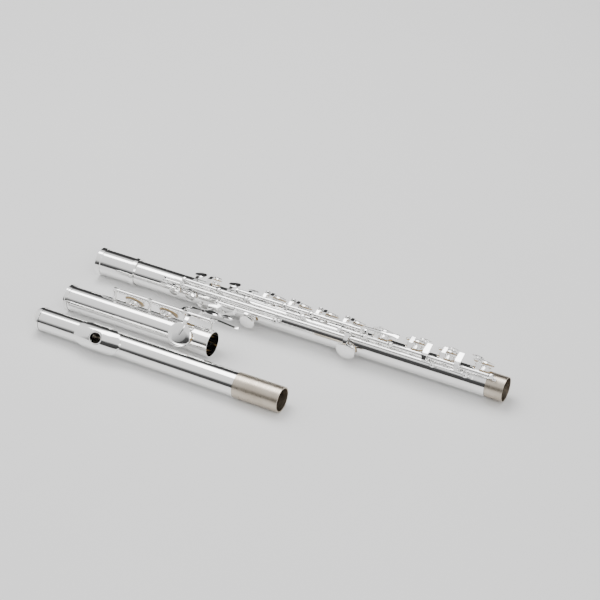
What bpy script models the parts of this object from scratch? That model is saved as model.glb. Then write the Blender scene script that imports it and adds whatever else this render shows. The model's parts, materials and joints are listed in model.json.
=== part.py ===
"""Alto flute, taken apart: head joint, body joint and foot joint lying side by side.

Each joint is modelled along its own tube axis (X), in millimetres. A place round the tube is given as a
radius and a roll angle, counted from straight up towards the far side (+Y). Every key is modelled with its
pad shut on the tone hole and is then turned about its rod to where it stands at rest.
"""

import math

import bmesh
import bpy
from mathutils import Matrix, Vector

MM = 0.001

# Clearances
SEAT_GAP = 0.3
RUN_GAP = 0.25
SLIDE_GAP = 0.15

# Facets of round pieces
TUBE_SIDES = 28
CUP_SIDES = 16
SMALL_SIDES = 8
POST_SIDES = 8

# Tubes
TUBE_R = 13.45
WALL = 0.45
CROWN_END_R = 12.3
HEAD_LENGTH = 294.0
HEAD_TENON_LENGTH = 51.0
BODY_LENGTH = 478.0
BARREL_LENGTH = 48.0
BARREL_OVERLAP = 5.0
BARREL_WALL = 0.9
BARREL_RING_WIDTH = 5.5
BARREL_RING_RISE = 0.9
FOOT_TENON_LENGTH = 19.0
FOOT_TENON_R = 13.05
TENON_SPIGOT = 7.0
FOOT_LENGTH = 176.0
SOCKET_OVERLAP = 3.0
SOCKET_WALL = 0.5
SOCKET_RING_RISE = 0.3
END_RING_RISE = 0.7
END_RING_WIDTH = 5.0
BEAD_X = 443.0
BEAD_WIDTH = 1.8
BEAD_RISE = 0.5

# Crown and stopper inside the head tube
CROWN_DOME = 6.8
CROWN_RING_WIDTH = 3.0
CROWN_RING_RISE = 0.7
CROWN_SPIGOT = 7.0
STOPPER_SETBACK = 22.0
CORK_LENGTH = 17.0
PLATE_THICKNESS = 1.2
STOPPER_ROD_R = 1.5

# Embouchure
EMBOUCHURE_X = 83.0
EMBOUCHURE_ROLL = -50.0
EMBOUCHURE_LONG = 6.6
EMBOUCHURE_SHORT = 5.8
RISER_WALL = 1.0
RISER_HEIGHT = 4.6
LIP_LENGTH = 54.0
LIP_HALF_ANGLE = 72.0
LIP_EDGE = 1.4
LIP_GAP = 0.4

# Tone holes and cups
RIM_R = 15.3
CHIMNEY_WALL = 0.5
RIM_BEAD = 0.35
HOLE_R = 9.0
CUP_R = 11.75
CUP_WALL = 0.65
CUP_DEPTH = 1.9
CUP_TOP = 3.9
PAD_THICKNESS = 2.4
PAD_LIFT = 0.3

# Hinges
ROD_R = 1.1
HINGE_R = 2.2
BALL_R = 3.0
POST_R = 1.5
POST_FOOT_R = 2.5
POST_FOOT_RISE = 0.8
POST_FOOT_SINK = 0.5
RIB_THICKNESS = 0.9
RIB_HALF_ANGLE = 6.0
END_PLAY = 0.4

# Layout of the three joints on the surface
HEAD_X = -9.0
HEAD_Y = -115.0
FOOT_X = 4.0
FOOT_Y = -71.0


class Line:
    """A rod's place round the tube."""

    def __init__(self, radius, roll):
        self.radius = radius
        self.roll = roll

    def at(self, x):
        return polar(x, self.radius, self.roll)


def polar(x, radius, roll):
    a = math.radians(roll)
    return Vector((x, radius * math.sin(a), radius * math.cos(a)))


UPPER = Line(20.0, -6.0)
MAIN = Line(19.0, -25.0)
TRILL = Line(18.0, -44.0)
THUMB = Line(18.7, -64.0)
FOOT_HIGH = Line(25.0, 17.0)

CUP_LINE = 51.0
OPEN_ANGLE = 7.0

SILVER = ("silver_plate", (0.91, 0.91, 0.90), 0.10, 1.0)
NICKEL = ("nickel_silver", (0.60, 0.55, 0.48), 0.28, 1.0)
STEEL = ("steel_rod", (0.55, 0.56, 0.58), 0.25, 1.0)
PAD = ("pad_skin", (0.62, 0.44, 0.20), 0.55, 0.0)
CORK = ("cork", (0.55, 0.36, 0.20), 0.85, 0.0)


# Mesh building

def clear_scene():
    for obj in list(bpy.data.objects):
        bpy.data.objects.remove(obj)


def material(spec):
    name, colour, roughness, metallic = spec
    mat = bpy.data.materials.get(name)
    if mat is None:
        mat = bpy.data.materials.new(name)
        mat.use_nodes = True
        shader = mat.node_tree.nodes["Principled BSDF"]
        shader.inputs["Base Color"].default_value = (*colour, 1.0)
        shader.inputs["Roughness"].default_value = roughness
        shader.inputs["Metallic"].default_value = metallic
    return mat


def mesh_object(verts, faces):
    """A closed solid from points in millimetres, faces pointing out."""
    bm = bmesh.new()
    points = [bm.verts.new(v) for v in verts]
    for face in faces:
        bm.faces.new([points[i] for i in face])
    bmesh.ops.recalc_face_normals(bm, faces=bm.faces)
    mesh = bpy.data.meshes.new("solid")
    bm.to_mesh(mesh)
    bm.free()
    obj = bpy.data.objects.new("solid", mesh)
    bpy.context.collection.objects.link(obj)
    return obj


def axis_frame(origin, axis):
    """Local z along the axis and, where it can be, local x along the tube."""
    z = Vector(axis).normalized()
    guide = Vector((1, 0, 0)) if abs(z.x) < 0.9 else Vector((0, 1, 0))
    y = z.cross(guide).normalized()
    x = y.cross(z)
    frame = Matrix((x, y, z)).transposed().to_4x4()
    frame.translation = Vector(origin)
    return frame


def turned(profile, sides, frame, closed=False, stretch=(1.0, 1.0), phase=0.5):
    """Turn (radius, height) points about the frame's z."""
    verts = []
    rings = []
    for radius, height in profile:
        ring = []
        count = 1 if radius < 1e-6 else sides
        for k in range(count):
            a = 2 * math.pi * (k + phase) / sides
            local = Vector((radius * stretch[0] * math.cos(a), radius * stretch[1] * math.sin(a), height))
            ring.append(len(verts))
            verts.append(frame @ local)
        rings.append(ring)
    faces = []
    pairs = list(zip(rings, rings[1:]))
    if closed:
        pairs.append((rings[-1], rings[0]))
    for low, high in pairs:
        for k in range(sides):
            n = (k + 1) % sides
            if len(low) == 1:
                faces.append((low[0], high[n], high[k]))
            elif len(high) == 1:
                faces.append((low[k], low[n], high[0]))
            else:
                faces.append((low[k], low[n], high[n], high[k]))
    return mesh_object(verts, faces)


ALONG_X = axis_frame((0, 0, 0), (1, 0, 0))


def sleeve(x0, x1, outer, inner, sides=TUBE_SIDES):
    return turned([(outer, x0), (outer, x1), (inner, x1), (inner, x0)], sides, ALONG_X, closed=True)


def cylinder(start, end, radius, sides=SMALL_SIDES, end_radius=None):
    start = Vector(start)
    along = Vector(end) - start
    frame = axis_frame(start, along)
    top = radius if end_radius is None else end_radius
    return turned([(0, 0), (radius, 0), (top, along.length), (0, along.length)], sides, frame)


def swept(points, widths, thicknesses, sides=4):
    """A bar along points, its width square to the radius from the tube and its thickness along it."""
    points = [Vector(p) for p in points]
    verts = []
    for i, p in enumerate(points):
        ahead = points[min(i + 1, len(points) - 1)] - points[max(i - 1, 0)]
        out = Vector((0, p.y, p.z))
        side = ahead.cross(out)
        if side.length < 1e-3:
            side = Vector((1, 0, 0))
        side.normalize()
        out = side.cross(ahead).normalized()
        for k in range(sides):
            a = 2 * math.pi * (k + 0.5) / sides
            grow = 1 / math.cos(math.pi / sides)
            verts.append(p + side * (math.cos(a) * grow * widths[i] / 2)
                         + out * (math.sin(a) * grow * thicknesses[i] / 2))
    faces = [tuple(range(sides)), tuple(range(len(verts) - 1, len(verts) - sides - 1, -1))]
    for i in range(len(points) - 1):
        for k in range(sides):
            n = (k + 1) % sides
            faces.append((i * sides + k, i * sides + n, (i + 1) * sides + n, (i + 1) * sides + k))
    return mesh_object(verts, faces)


def boolean(target, tools, operation):
    for tool in tools:
        mod = target.modifiers.new("cut", 'BOOLEAN')
        mod.operation = operation
        mod.object = tool
        mod.solver = 'EXACT'
    bpy.context.view_layer.update()
    graph = bpy.context.evaluated_depsgraph_get()
    mesh = bpy.data.meshes.new_from_object(target.evaluated_get(graph))
    target.modifiers.clear()
    target.data = mesh
    for tool in tools:
        bpy.data.objects.remove(tool)
    return target


def union(target, tools):
    return boolean(target, tools, 'UNION')


def cut(target, tools):
    return boolean(target, tools, 'DIFFERENCE')


def finish(obj, name, spec, parent, pivot=(0, 0, 0), turn=0.0):
    """Name a solid, put its origin on the pivot, hang it on its parent and turn it to its rest pose."""
    pivot = Vector(pivot)
    obj.data.transform(Matrix.Scale(MM, 4) @ Matrix.Translation(-pivot))
    bm = bmesh.new()
    bm.from_mesh(obj.data)
    bmesh.ops.remove_doubles(bm, verts=bm.verts, dist=1e-6)
    bmesh.ops.dissolve_degenerate(bm, edges=bm.edges, dist=1e-7)
    bmesh.ops.triangulate(bm, faces=[f for f in bm.faces if len(f.verts) > 4])
    bm.to_mesh(obj.data)
    bm.free()
    obj.data.name = name
    obj.name = name
    obj.data.materials.clear()
    obj.data.materials.append(material(spec))
    obj.data.shade_smooth()
    obj.data.set_sharp_from_angle(angle=math.radians(35))
    obj.parent = parent
    obj.location = pivot * MM
    obj.rotation_euler.x = math.radians(turn)
    return obj


def section(name, x, y, height):
    empty = bpy.data.objects.new(name, None)
    bpy.context.collection.objects.link(empty)
    empty.location = Vector((x, y, height)) * MM
    return empty


# Tubes, sockets and tenons

def apothem(radius):
    """Height of a turned ring's flat facet from its axis."""
    return radius * math.cos(math.pi / TUBE_SIDES)


def tenon(x0, x1, tube_inner, outer):
    """A sleeve whose thinner end sits inside the tube."""
    inner = tube_inner - SEAT_GAP
    bore = inner - WALL
    step = x0 + SEAT_GAP
    profile = [(inner, x0 - TENON_SPIGOT), (inner, step), (outer, step), (outer, x1), (bore, x1),
               (bore, x0 - TENON_SPIGOT)]
    return turned(profile, TUBE_SIDES, ALONG_X, closed=True)


def chimney(x, roll, hole_r, rim):
    """A drawn tone hole's wall, from inside the tube up to its rolled rim."""
    frame = axis_frame((x, 0, 0), polar(0, 1, roll))
    outer = hole_r + CHIMNEY_WALL
    start = math.sqrt(max(TUBE_R ** 2 - outer ** 2, 1.0)) - 1.2
    profile = [(0, start), (outer, start), (outer, rim - 0.7), (outer + RIM_BEAD, rim), (0, rim)]
    return turned(profile, CUP_SIDES, frame)


def hole_cutter(x, roll, hole_r, rim):
    frame = axis_frame((x, 0, 0), polar(0, 1, roll))
    return turned([(0, 5.0), (hole_r, 5.0), (hole_r, rim + 2.0), (0, rim + 2.0)], CUP_SIDES, frame)


def line_frame(line, x):
    """Local z along the rod and local x straight out from the tube."""
    out = polar(0, 1, line.roll)
    along = Vector((1, 0, 0))
    frame = Matrix((out, along.cross(out), along)).transposed().to_4x4()
    frame.translation = line.at(x)
    return frame


def post(line, x, foot_r, foot=0.0):
    """A ball post turned in one piece; foot is the thickness of its round foot, if it has one."""
    top = line.radius
    profile = [(0, foot_r)]
    if foot:
        profile += [(POST_FOOT_R, foot_r), (POST_FOOT_R, foot_r + foot)]
    else:
        profile.append((POST_R * 1.25, foot_r))
    neck = foot_r + foot + 0.4
    profile += [(POST_R * 1.25, neck), (POST_R, top - BALL_R * 0.88)]
    for angle in (-32, 12, 54):
        a = math.radians(angle)
        profile.append((BALL_R * math.cos(a), top + BALL_R * math.sin(a)))
    profile.append((0, top + BALL_R))
    return turned(profile, POST_SIDES, axis_frame((x, 0, 0), polar(0, 1, line.roll)))


def rod_cutter(line, x0, x1):
    radius = ROD_R + RUN_GAP
    return turned([(0, 0), (radius, 0), (radius, x1 - x0), (0, x1 - x0)], SMALL_SIDES, line_frame(line, x0))


def strap(line, x0, x1, tail=0.0):
    """A rib: a curved strap along the tube, its left end drawn out to a point when tail is given."""
    inner = TUBE_R + SEAT_GAP
    outer = inner + RIB_THICKNESS
    stations = [(x0, RIB_HALF_ANGLE), (x1, RIB_HALF_ANGLE)]
    if tail:
        stations.insert(0, (x0 - tail, RIB_HALF_ANGLE * 0.2))
    steps = 4
    verts = []
    for x, half in stations:
        for radius in (inner, outer):
            for k in range(steps + 1):
                verts.append(polar(x, radius, line.roll - half + 2 * half * k / steps))
    row = 2 * (steps + 1)
    faces = []
    for s in range(len(stations) - 1):
        a = s * row
        b = a + row
        for k in range(steps):
            faces.append((a + k, a + k + 1, b + k + 1, b + k))
            c = a + steps + 1
            d = b + steps + 1
            faces.append((c + k, d + k, d + k + 1, c + k + 1))
        faces.append((a, b, b + steps + 1, a + steps + 1))
        faces.append((a + steps, a + row - 1, b + row - 1, b + steps))
    for base in (0, (len(stations) - 1) * row):
        for k in range(steps):
            faces.append((base + k, base + k + 1, base + steps + 2 + k, base + steps + 1 + k))
    return mesh_object(verts, faces)


def rib_with_posts(line, x0, x1, posts, bore_from, bore_to, tail=0.0):
    rib = strap(line, x0, x1, tail)
    foot = TUBE_R + SEAT_GAP + RIB_THICKNESS / 2
    parts = []
    for x in posts:
        parts.append(post(line, x, foot))
    union(rib, parts)
    return cut(rib, [rod_cutter(line, bore_from, bore_to)])


# Keys

class Key:
    """A key in the making: its solid, its rod's line and how it opens."""

    def __init__(self, name, line, side, sections, pinned=False):
        self.name = name
        self.line = line
        self.side = side
        self.pinned = pinned
        self.parts = []
        self.pads = []
        x0, x1 = sections[0]
        self.middle = (x0 + x1) / 2
        self.sections = sections
        self.solid = self.tube(x0, x1)
        for start, end in sections[1:]:
            self.parts.append(self.tube(start, end))

    def tube(self, x0, x1):
        return cylinder(self.line.at(x0), self.line.at(x1), HINGE_R)

    def rod(self, x0, x1):
        self.parts.append(cylinder(self.line.at(x0), self.line.at(x1), ROD_R))

    def cup(self, x, roll, cup_r, rim):
        """A cup with its pad, and its pointed arm."""
        self.cup_only(x, roll, cup_r, rim)
        self.arm(x, roll, cup_r, rim)

    def cup_only(self, x, roll, cup_r, rim):
        """The cup over a tone hole and its pad."""
        frame = axis_frame((x, 0, 0), polar(0, 1, roll))
        skirt = rim + CUP_DEPTH - 0.9
        roof = rim + PAD_LIFT + PAD_THICKNESS + SEAT_GAP
        inner = cup_r - CUP_WALL
        profile = [(0, rim + CUP_TOP), (cup_r * 0.55, rim + CUP_TOP - 0.1), (cup_r * 0.9, rim + CUP_TOP - 0.5),
                   (cup_r, rim + CUP_TOP - 1.3), (cup_r, skirt), (inner, skirt), (inner, roof), (0, roof)]
        self.parts.append(turned(profile, CUP_SIDES, frame))
        pad_r = inner - SEAT_GAP
        face = rim + PAD_LIFT
        pad_profile = [(0, face), (pad_r - 0.7, face), (pad_r, face + 0.6), (pad_r, face + PAD_THICKNESS),
                       (0, face + PAD_THICKNESS)]
        self.pads.append(turned(pad_profile, CUP_SIDES, frame))

    def arm(self, x, roll, cup_r, rim):
        """The pointed arm: up from the hinge tube, round the cup's edge and in to its centre."""
        out = polar(0, 1, roll)
        across = self.side * polar(0, 1, roll - 90)
        hinge = self.line.at(0)
        level = hinge.dot(out)
        reach = hinge.dot(across)
        top = rim + CUP_TOP
        route = [(reach, level), (reach - 0.8, (level + top) / 2 + 1.0), (cup_r + 0.7, top - 0.1),
                 (cup_r * 0.6, top + 0.25), (0.0, top + 0.1)]
        points = [Vector((x, 0, 0)) + across * lateral + out * height for lateral, height in route]
        self.parts.append(swept(points, [4.6, 4.2, 3.8, 2.6, 0.9], [2.2, 2.0, 1.7, 1.5, 1.0]))

    def arm_path(self, points, widths, thicknesses, sides=4):
        self.parts.append(swept(points, widths, thicknesses, sides))

    def plate(self, centre, facing, radius, thickness=1.5, stretch=(1.0, 1.0), sides=14):
        """A finger plate with a rounded top edge."""
        frame = axis_frame(centre, facing)
        profile = [(0, thickness), (radius * 0.82, thickness * 0.95), (radius, thickness * 0.5),
                   (radius * 0.92, 0), (0, 0)]
        self.parts.append(turned(profile, sides, frame, stretch=stretch))

    def build(self, parent, turn):
        """Fuse the pieces, bore the hinge tubes and set the key in its rest pose."""
        union(self.solid, self.parts)
        cutters = []
        if not self.pinned:
            for x0, x1 in self.sections:
                cutters.append(cylinder(self.line.at(x0 - 1), self.line.at(x1 + 1), ROD_R + RUN_GAP))
        if cutters:
            cut(self.solid, cutters)
        pivot = self.line.at(self.middle)
        key = finish(self.solid, self.name, SILVER, parent, pivot, turn)
        for i, pad in enumerate(self.pads):
            suffix = "" if len(self.pads) == 1 else "_" + str(i + 1)
            pad_obj = finish(pad, self.name.replace("_key", "") + "_pad" + suffix, PAD, parent, pivot, turn)
            pad_obj.parent = key
            pad_obj.location = (0, 0, 0)
            pad_obj.rotation_euler.x = 0
        return key


# Head joint

def head_radius(x):
    """The head tube's outside, narrowing towards the crown."""
    return CROWN_END_R + (TUBE_R - CROWN_END_R) * max(x / HEAD_LENGTH, 0.0) ** 0.6


TUBE_START = CROWN_DOME + CROWN_RING_WIDTH + SEAT_GAP
TUBE_END = HEAD_LENGTH - HEAD_TENON_LENGTH
HEAD_SHORT_R = head_radius(EMBOUCHURE_X)
STOPPER_FACE = EMBOUCHURE_X - STOPPER_SETBACK
EMBOUCHURE_OUT = polar(0, 1, EMBOUCHURE_ROLL)


def embouchure_cutter(grow):
    frame = axis_frame((EMBOUCHURE_X, 0, 0), EMBOUCHURE_OUT)
    radius = EMBOUCHURE_LONG + grow
    flat = (EMBOUCHURE_SHORT + grow) / radius
    return turned([(0, 5), (radius, 5), (radius, 25), (0, 25)], 20, frame, stretch=(1.0, flat))


def head_tube(parent):
    stations = 5
    outside = []
    inside = []
    for i in range(stations + 1):
        x = TUBE_START + (TUBE_END - TUBE_START) * i / stations
        outside.append((head_radius(x), x))
        inside.append((head_radius(x) - WALL, x))
    tube = turned(outside + inside[::-1], TUBE_SIDES, ALONG_X, closed=True)
    cut(tube, [embouchure_cutter(0.0)])
    return finish(tube, "head_tube", SILVER, parent)


def lip_plate(parent):
    """A saddle hugging the tube: rounded ends, thick round the hole and thin at its edges."""
    rows = 12
    columns = 10
    verts = []
    for top in (True, False):
        for i in range(rows + 1):
            u = math.sin(math.pi * (i / rows - 0.5)) * 0.995
            x = EMBOUCHURE_X + u * LIP_LENGTH / 2
            base = head_radius(x) + LIP_GAP
            half = LIP_HALF_ANGLE * max(1 - abs(u) ** 2.6, 0.02) ** 0.5
            for k in range(columns + 1):
                v = 2 * k / columns - 1
                rise = (1 - u * u) * (1 - (v * half / LIP_HALF_ANGLE) ** 2)
                radius = base + (LIP_EDGE + (RISER_HEIGHT - LIP_EDGE) * rise if top else 0.0)
                verts.append(polar(x, radius, EMBOUCHURE_ROLL + v * half))
    row = columns + 1
    layer = (rows + 1) * row
    faces = []
    for i in range(rows):
        for k in range(columns):
            a = i * row + k
            faces.append((a, a + 1, a + row + 1, a + row))
            faces.append((layer + a, layer + a + row, layer + a + row + 1, layer + a + 1))
    for i in range(rows):
        for k in (0, columns):
            a = i * row + k
            faces.append((a, a + row, layer + a + row, layer + a))
    for i in (0, rows):
        for k in range(columns):
            a = i * row + k
            faces.append((a, a + 1, layer + a + 1, layer + a))
    plate = mesh_object(verts, faces)
    cut(plate, [embouchure_cutter(RISER_WALL + SEAT_GAP)])
    return finish(plate, "lip_plate", SILVER, parent)


def embouchure_riser(parent):
    frame = axis_frame((EMBOUCHURE_X, 0, 0), EMBOUCHURE_OUT)
    outer = EMBOUCHURE_LONG + RISER_WALL
    flat = (EMBOUCHURE_SHORT + RISER_WALL) / outer
    top = HEAD_SHORT_R + RISER_HEIGHT - 0.2
    riser = turned([(0, 8), (outer, 8), (outer, top), (0, top)], 20, frame, stretch=(1.0, flat))
    inside = turned([(0, 0), (HEAD_SHORT_R + SEAT_GAP, 0), (HEAD_SHORT_R + SEAT_GAP, 2 * EMBOUCHURE_X),
                     (0, 2 * EMBOUCHURE_X)], 2 * TUBE_SIDES, ALONG_X)
    cut(riser, [embouchure_cutter(0.0), inside])
    return finish(riser, "embouchure_riser", SILVER, parent)


def crown(parent):
    ring = CROWN_END_R + CROWN_RING_RISE
    shoulder = CROWN_DOME + CROWN_RING_WIDTH
    spigot = head_radius(TUBE_START) - WALL - SEAT_GAP
    bore = STOPPER_ROD_R + RUN_GAP
    profile = [(0, 0)]
    for k in range(1, 6):
        a = math.pi / 2 * k / 6
        profile.append((ring * 0.96 * math.sin(a), CROWN_DOME * (1 - math.cos(a)) * 0.9))
    profile += [(ring, CROWN_DOME), (ring, shoulder), (spigot, shoulder), (spigot, shoulder + CROWN_SPIGOT),
                (bore, shoulder + CROWN_SPIGOT), (bore, shoulder - 1.5), (0, shoulder - 1.5)]
    return finish(turned(profile, TUBE_SIDES, ALONG_X), "crown", SILVER, parent)


def stopper(parent):
    """The cork with the plate, rod and washer that hold it."""
    plate_back = STOPPER_FACE - PLATE_THICKNESS
    cork_end = plate_back - SEAT_GAP
    cork_start = cork_end - CORK_LENGTH
    washer_end = cork_start - SEAT_GAP
    radius = head_radius(cork_start) - WALL - SEAT_GAP
    bore = STOPPER_ROD_R + RUN_GAP
    screw = turned([(0, STOPPER_FACE), (radius, STOPPER_FACE), (radius, plate_back), (STOPPER_ROD_R, plate_back),
                    (STOPPER_ROD_R, TUBE_START), (0, TUBE_START)], TUBE_SIDES, ALONG_X)
    finish(screw, "stopper_screw", NICKEL, parent)
    cork = sleeve(cork_start, cork_end, radius, bore)
    finish(cork, "cork_stopper", CORK, parent)
    washer = sleeve(washer_end - PLATE_THICKNESS, washer_end, radius - 1.0, bore)
    finish(washer, "stopper_washer", NICKEL, parent)


def build_head():
    parent = section("head_joint", HEAD_X, HEAD_Y, apothem(TUBE_R))
    head_tube(parent)
    lip_plate(parent)
    embouchure_riser(parent)
    crown(parent)
    stopper(parent)
    sleeve_solid = tenon(TUBE_END, HEAD_LENGTH, head_radius(TUBE_END) - WALL, TUBE_R)
    finish(sleeve_solid, "head_tenon", NICKEL, parent)
    return parent


# Body joint: where its keys sit, from the barrel's open end

TRILL_DSHARP_X = 102.0
TRILL_D_X = 122.0
LEFT_ONE_X = 122.0
CSHARP_X = 138.0
LEFT_TWO_X = 163.0
LEFT_THREE_X = 185.0
THUMB_PLATE_X = 143.0
THUMB_OVAL_X = 163.0
THUMB_X = 192.0
BFLAT_X = 211.0
A_X = 241.5
G_X = 273.0
G_LOW_X = 304.5
GSHARP_X = 307.0
FSHARP_X = 336.0
F_X = 373.0
E_X = 409.0
D_X = 448.0
RIGHT_ONE_X = 382.0
RIGHT_TWO_X = 413.0
RIGHT_THREE_X = 439.5
TRILL_TOUCH_D_X = 393.0
TRILL_TOUCH_DSHARP_X = 428.0

TRILL_ROLL = -74.0
THUMB_ROLL = -102.0
GSHARP_ROLL = -95.0
TRILL_HOLE_R = 4.0
TRILL_CUP_R = 6.0
CSHARP_HOLE_R = 4.3
CSHARP_CUP_R = 6.75
THUMB_HOLE_R = 6.3
THUMB_CUP_R = 8.8
GSHARP_HOLE_R = 8.0
GSHARP_CUP_R = 10.6
SMALL_RIM_R = 14.8
FINGER_R = 6.6

UPPER_POSTS = (172.0, 229.0, 260.0, 323.0)
MAIN_POSTS = (110.5, 153.0, 186.0, 253.0, 296.0, 325.0, 354.0, 391.0, 428.0, 464.0)
TRILL_POSTS = (88.0, 111.0, 402.0, 438.0)
THUMB_POSTS = (155.0, 225.0)
BALL_HALF = BALL_R * 0.8
BODY_BORE_R = TUBE_R - WALL


def between(posts, i, j=None):
    """The stretch of rod between two posts, with end play at each side."""
    j = i + 1 if j is None else j
    return posts[i] + BALL_HALF + END_PLAY, posts[j] - BALL_HALF - END_PLAY


def body_holes():
    holes = [(x, CUP_LINE, HOLE_R, RIM_R) for x in (BFLAT_X, A_X, G_X, G_LOW_X, FSHARP_X, F_X, E_X, D_X)]
    holes.append((CSHARP_X, CUP_LINE, CSHARP_HOLE_R, SMALL_RIM_R))
    under = [(x, TRILL_ROLL, TRILL_HOLE_R, SMALL_RIM_R) for x in (TRILL_DSHARP_X, TRILL_D_X)]
    under.append((THUMB_X, THUMB_ROLL, THUMB_HOLE_R, RIM_R))
    under.append((GSHARP_X, GSHARP_ROLL, GSHARP_HOLE_R, RIM_R))
    return holes, under


def body_tube(parent):
    """The tube with its drawn tone holes and the posts that stand on it singly."""
    start = BARREL_LENGTH - BARREL_OVERLAP
    end = BODY_LENGTH - FOOT_TENON_LENGTH
    bead = TUBE_R + BEAD_RISE
    profile = [(0, start), (TUBE_R, start), (TUBE_R, BEAD_X), (bead, BEAD_X), (bead, BEAD_X + BEAD_WIDTH),
               (TUBE_R, BEAD_X + BEAD_WIDTH), (TUBE_R, end), (0, end)]
    tube = turned(profile, TUBE_SIDES, ALONG_X)
    upper, under = body_holes()
    union(tube, [chimney(*hole) for hole in upper])
    union(tube, [chimney(*hole) for hole in under])
    posts = []
    for line, places in ((TRILL, TRILL_POSTS), (THUMB, THUMB_POSTS)):
        for x in places:
            posts.append(post(line, x, TUBE_R - POST_FOOT_SINK, POST_FOOT_SINK + POST_FOOT_RISE))
    union(tube, posts)
    cut(tube, [turned([(0, start - 1), (BODY_BORE_R, start - 1), (BODY_BORE_R, end + 1), (0, end + 1)],
                      TUBE_SIDES, ALONG_X)])
    cut(tube, [hole_cutter(*hole) for hole in upper + under])
    cut(tube, [rod_cutter(TRILL, TRILL_POSTS[0] - 5, TRILL_POSTS[-1] + 5),
               rod_cutter(THUMB, THUMB_POSTS[0] - 5, THUMB_POSTS[-1] + 5)])
    return finish(tube, "body_tube", SILVER, parent)


BARREL_INNER_R = TUBE_R + SLIDE_GAP + SEAT_GAP / 2
BARREL_RING_R = BARREL_INNER_R + BARREL_WALL + BARREL_RING_RISE


def barrel(parent):
    inner = BARREL_INNER_R
    outer = inner + BARREL_WALL
    ring = BARREL_RING_R
    neck = BARREL_LENGTH - BARREL_RING_WIDTH * 0.8
    profile = [(ring, 0), (ring, BARREL_RING_WIDTH), (outer, BARREL_RING_WIDTH + 0.5), (outer, neck - 0.5),
               (ring, neck), (ring, BARREL_LENGTH), (inner, BARREL_LENGTH), (inner, 0)]
    return finish(turned(profile, TUBE_SIDES, ALONG_X, closed=True), "barrel", SILVER, parent)


def plain_rod(name, line, x0, x1, parent):
    rod = cylinder(line.at(x0), line.at(x1), ROD_R)
    return finish(rod, name, STEEL, parent)


def stem_plate(key, x, roll, rim):
    """A raised finger plate on a short stem from the cup's top."""
    out = polar(0, 1, roll)
    level = rim + CUP_TOP
    lift = 1.4
    start = Vector((x, 0, 0)) + out * (level - 0.8)
    key.parts.append(cylinder(start, start + out * (lift + 1.5), 2.0))
    key.plate(Vector((x, 0, 0)) + out * (level + lift), out, FINGER_R)


def side_plate(key, x, y, z, facing_roll):
    """A finger plate beside the stack, on an arm from the hinge tube."""
    centre = Vector((x, y, z))
    facing = polar(0, 1, facing_roll)
    hinge = key.line.at(x)
    middle = (hinge + centre) / 2 + facing * 1.6
    key.arm_path([hinge, middle, centre + facing * 0.4], [4.2, 3.6, 3.0], [2.0, 1.6, 1.2])
    key.plate(centre, facing, FINGER_R)


def lug(key, x, roll, rim):
    """The adjusting lug beside a cup, on its own short arm."""
    out = polar(0, 1, roll)
    across = key.side * polar(0, 1, roll - 90)
    hinge = key.line.at(x)
    end = Vector((x, 0, 0)) + across * 9.0 + out * (rim + CUP_TOP)
    key.arm_path([hinge, (hinge + end) / 2 + out * 1.5 + across * 1.2, end], [3.4, 3.2, 3.0], [1.8, 1.5, 1.2])
    key.plate(end - out * 0.3, out, 3.1, thickness=1.6, sides=SMALL_SIDES)


def trill_keys(parent):
    """Two long trill keys on one line: the second's rod turns inside the first's tube."""
    posts = TRILL_POSTS
    first = between(posts, 0)
    touch_to = posts[3] - BALL_HALF - END_PLAY
    high = Key("trill_dsharp_key", TRILL, -1, [first, (TRILL_TOUCH_DSHARP_X - 6, touch_to)], pinned=True)
    high.rod(posts[0] - 2, posts[3] + 2)
    high.cup(TRILL_DSHARP_X, TRILL_ROLL, TRILL_CUP_R, SMALL_RIM_R)
    low = Key("trill_d_key", TRILL, -1, [between(posts, 1, 2)])
    low.cup(TRILL_D_X, TRILL_ROLL, TRILL_CUP_R, SMALL_RIM_R)
    for key, x, rise in ((high, TRILL_TOUCH_DSHARP_X, 1.2), (low, TRILL_TOUCH_D_X, 0.0)):
        hinge = TRILL.at(x)
        route = [hinge, (x, -14.2, 17.8), (x, -12.6, 21.4 + rise), (x, -8.0, 23.8 + rise), (x, 2.0, 25.6 + rise)]
        key.arm_path(route, [4.4, 4.2, 5.0, 6.4, 5.4], [2.0, 1.8, 1.6, 1.5, 1.3])
    return [(high, 0.0), (low, 0.0)]


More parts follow.
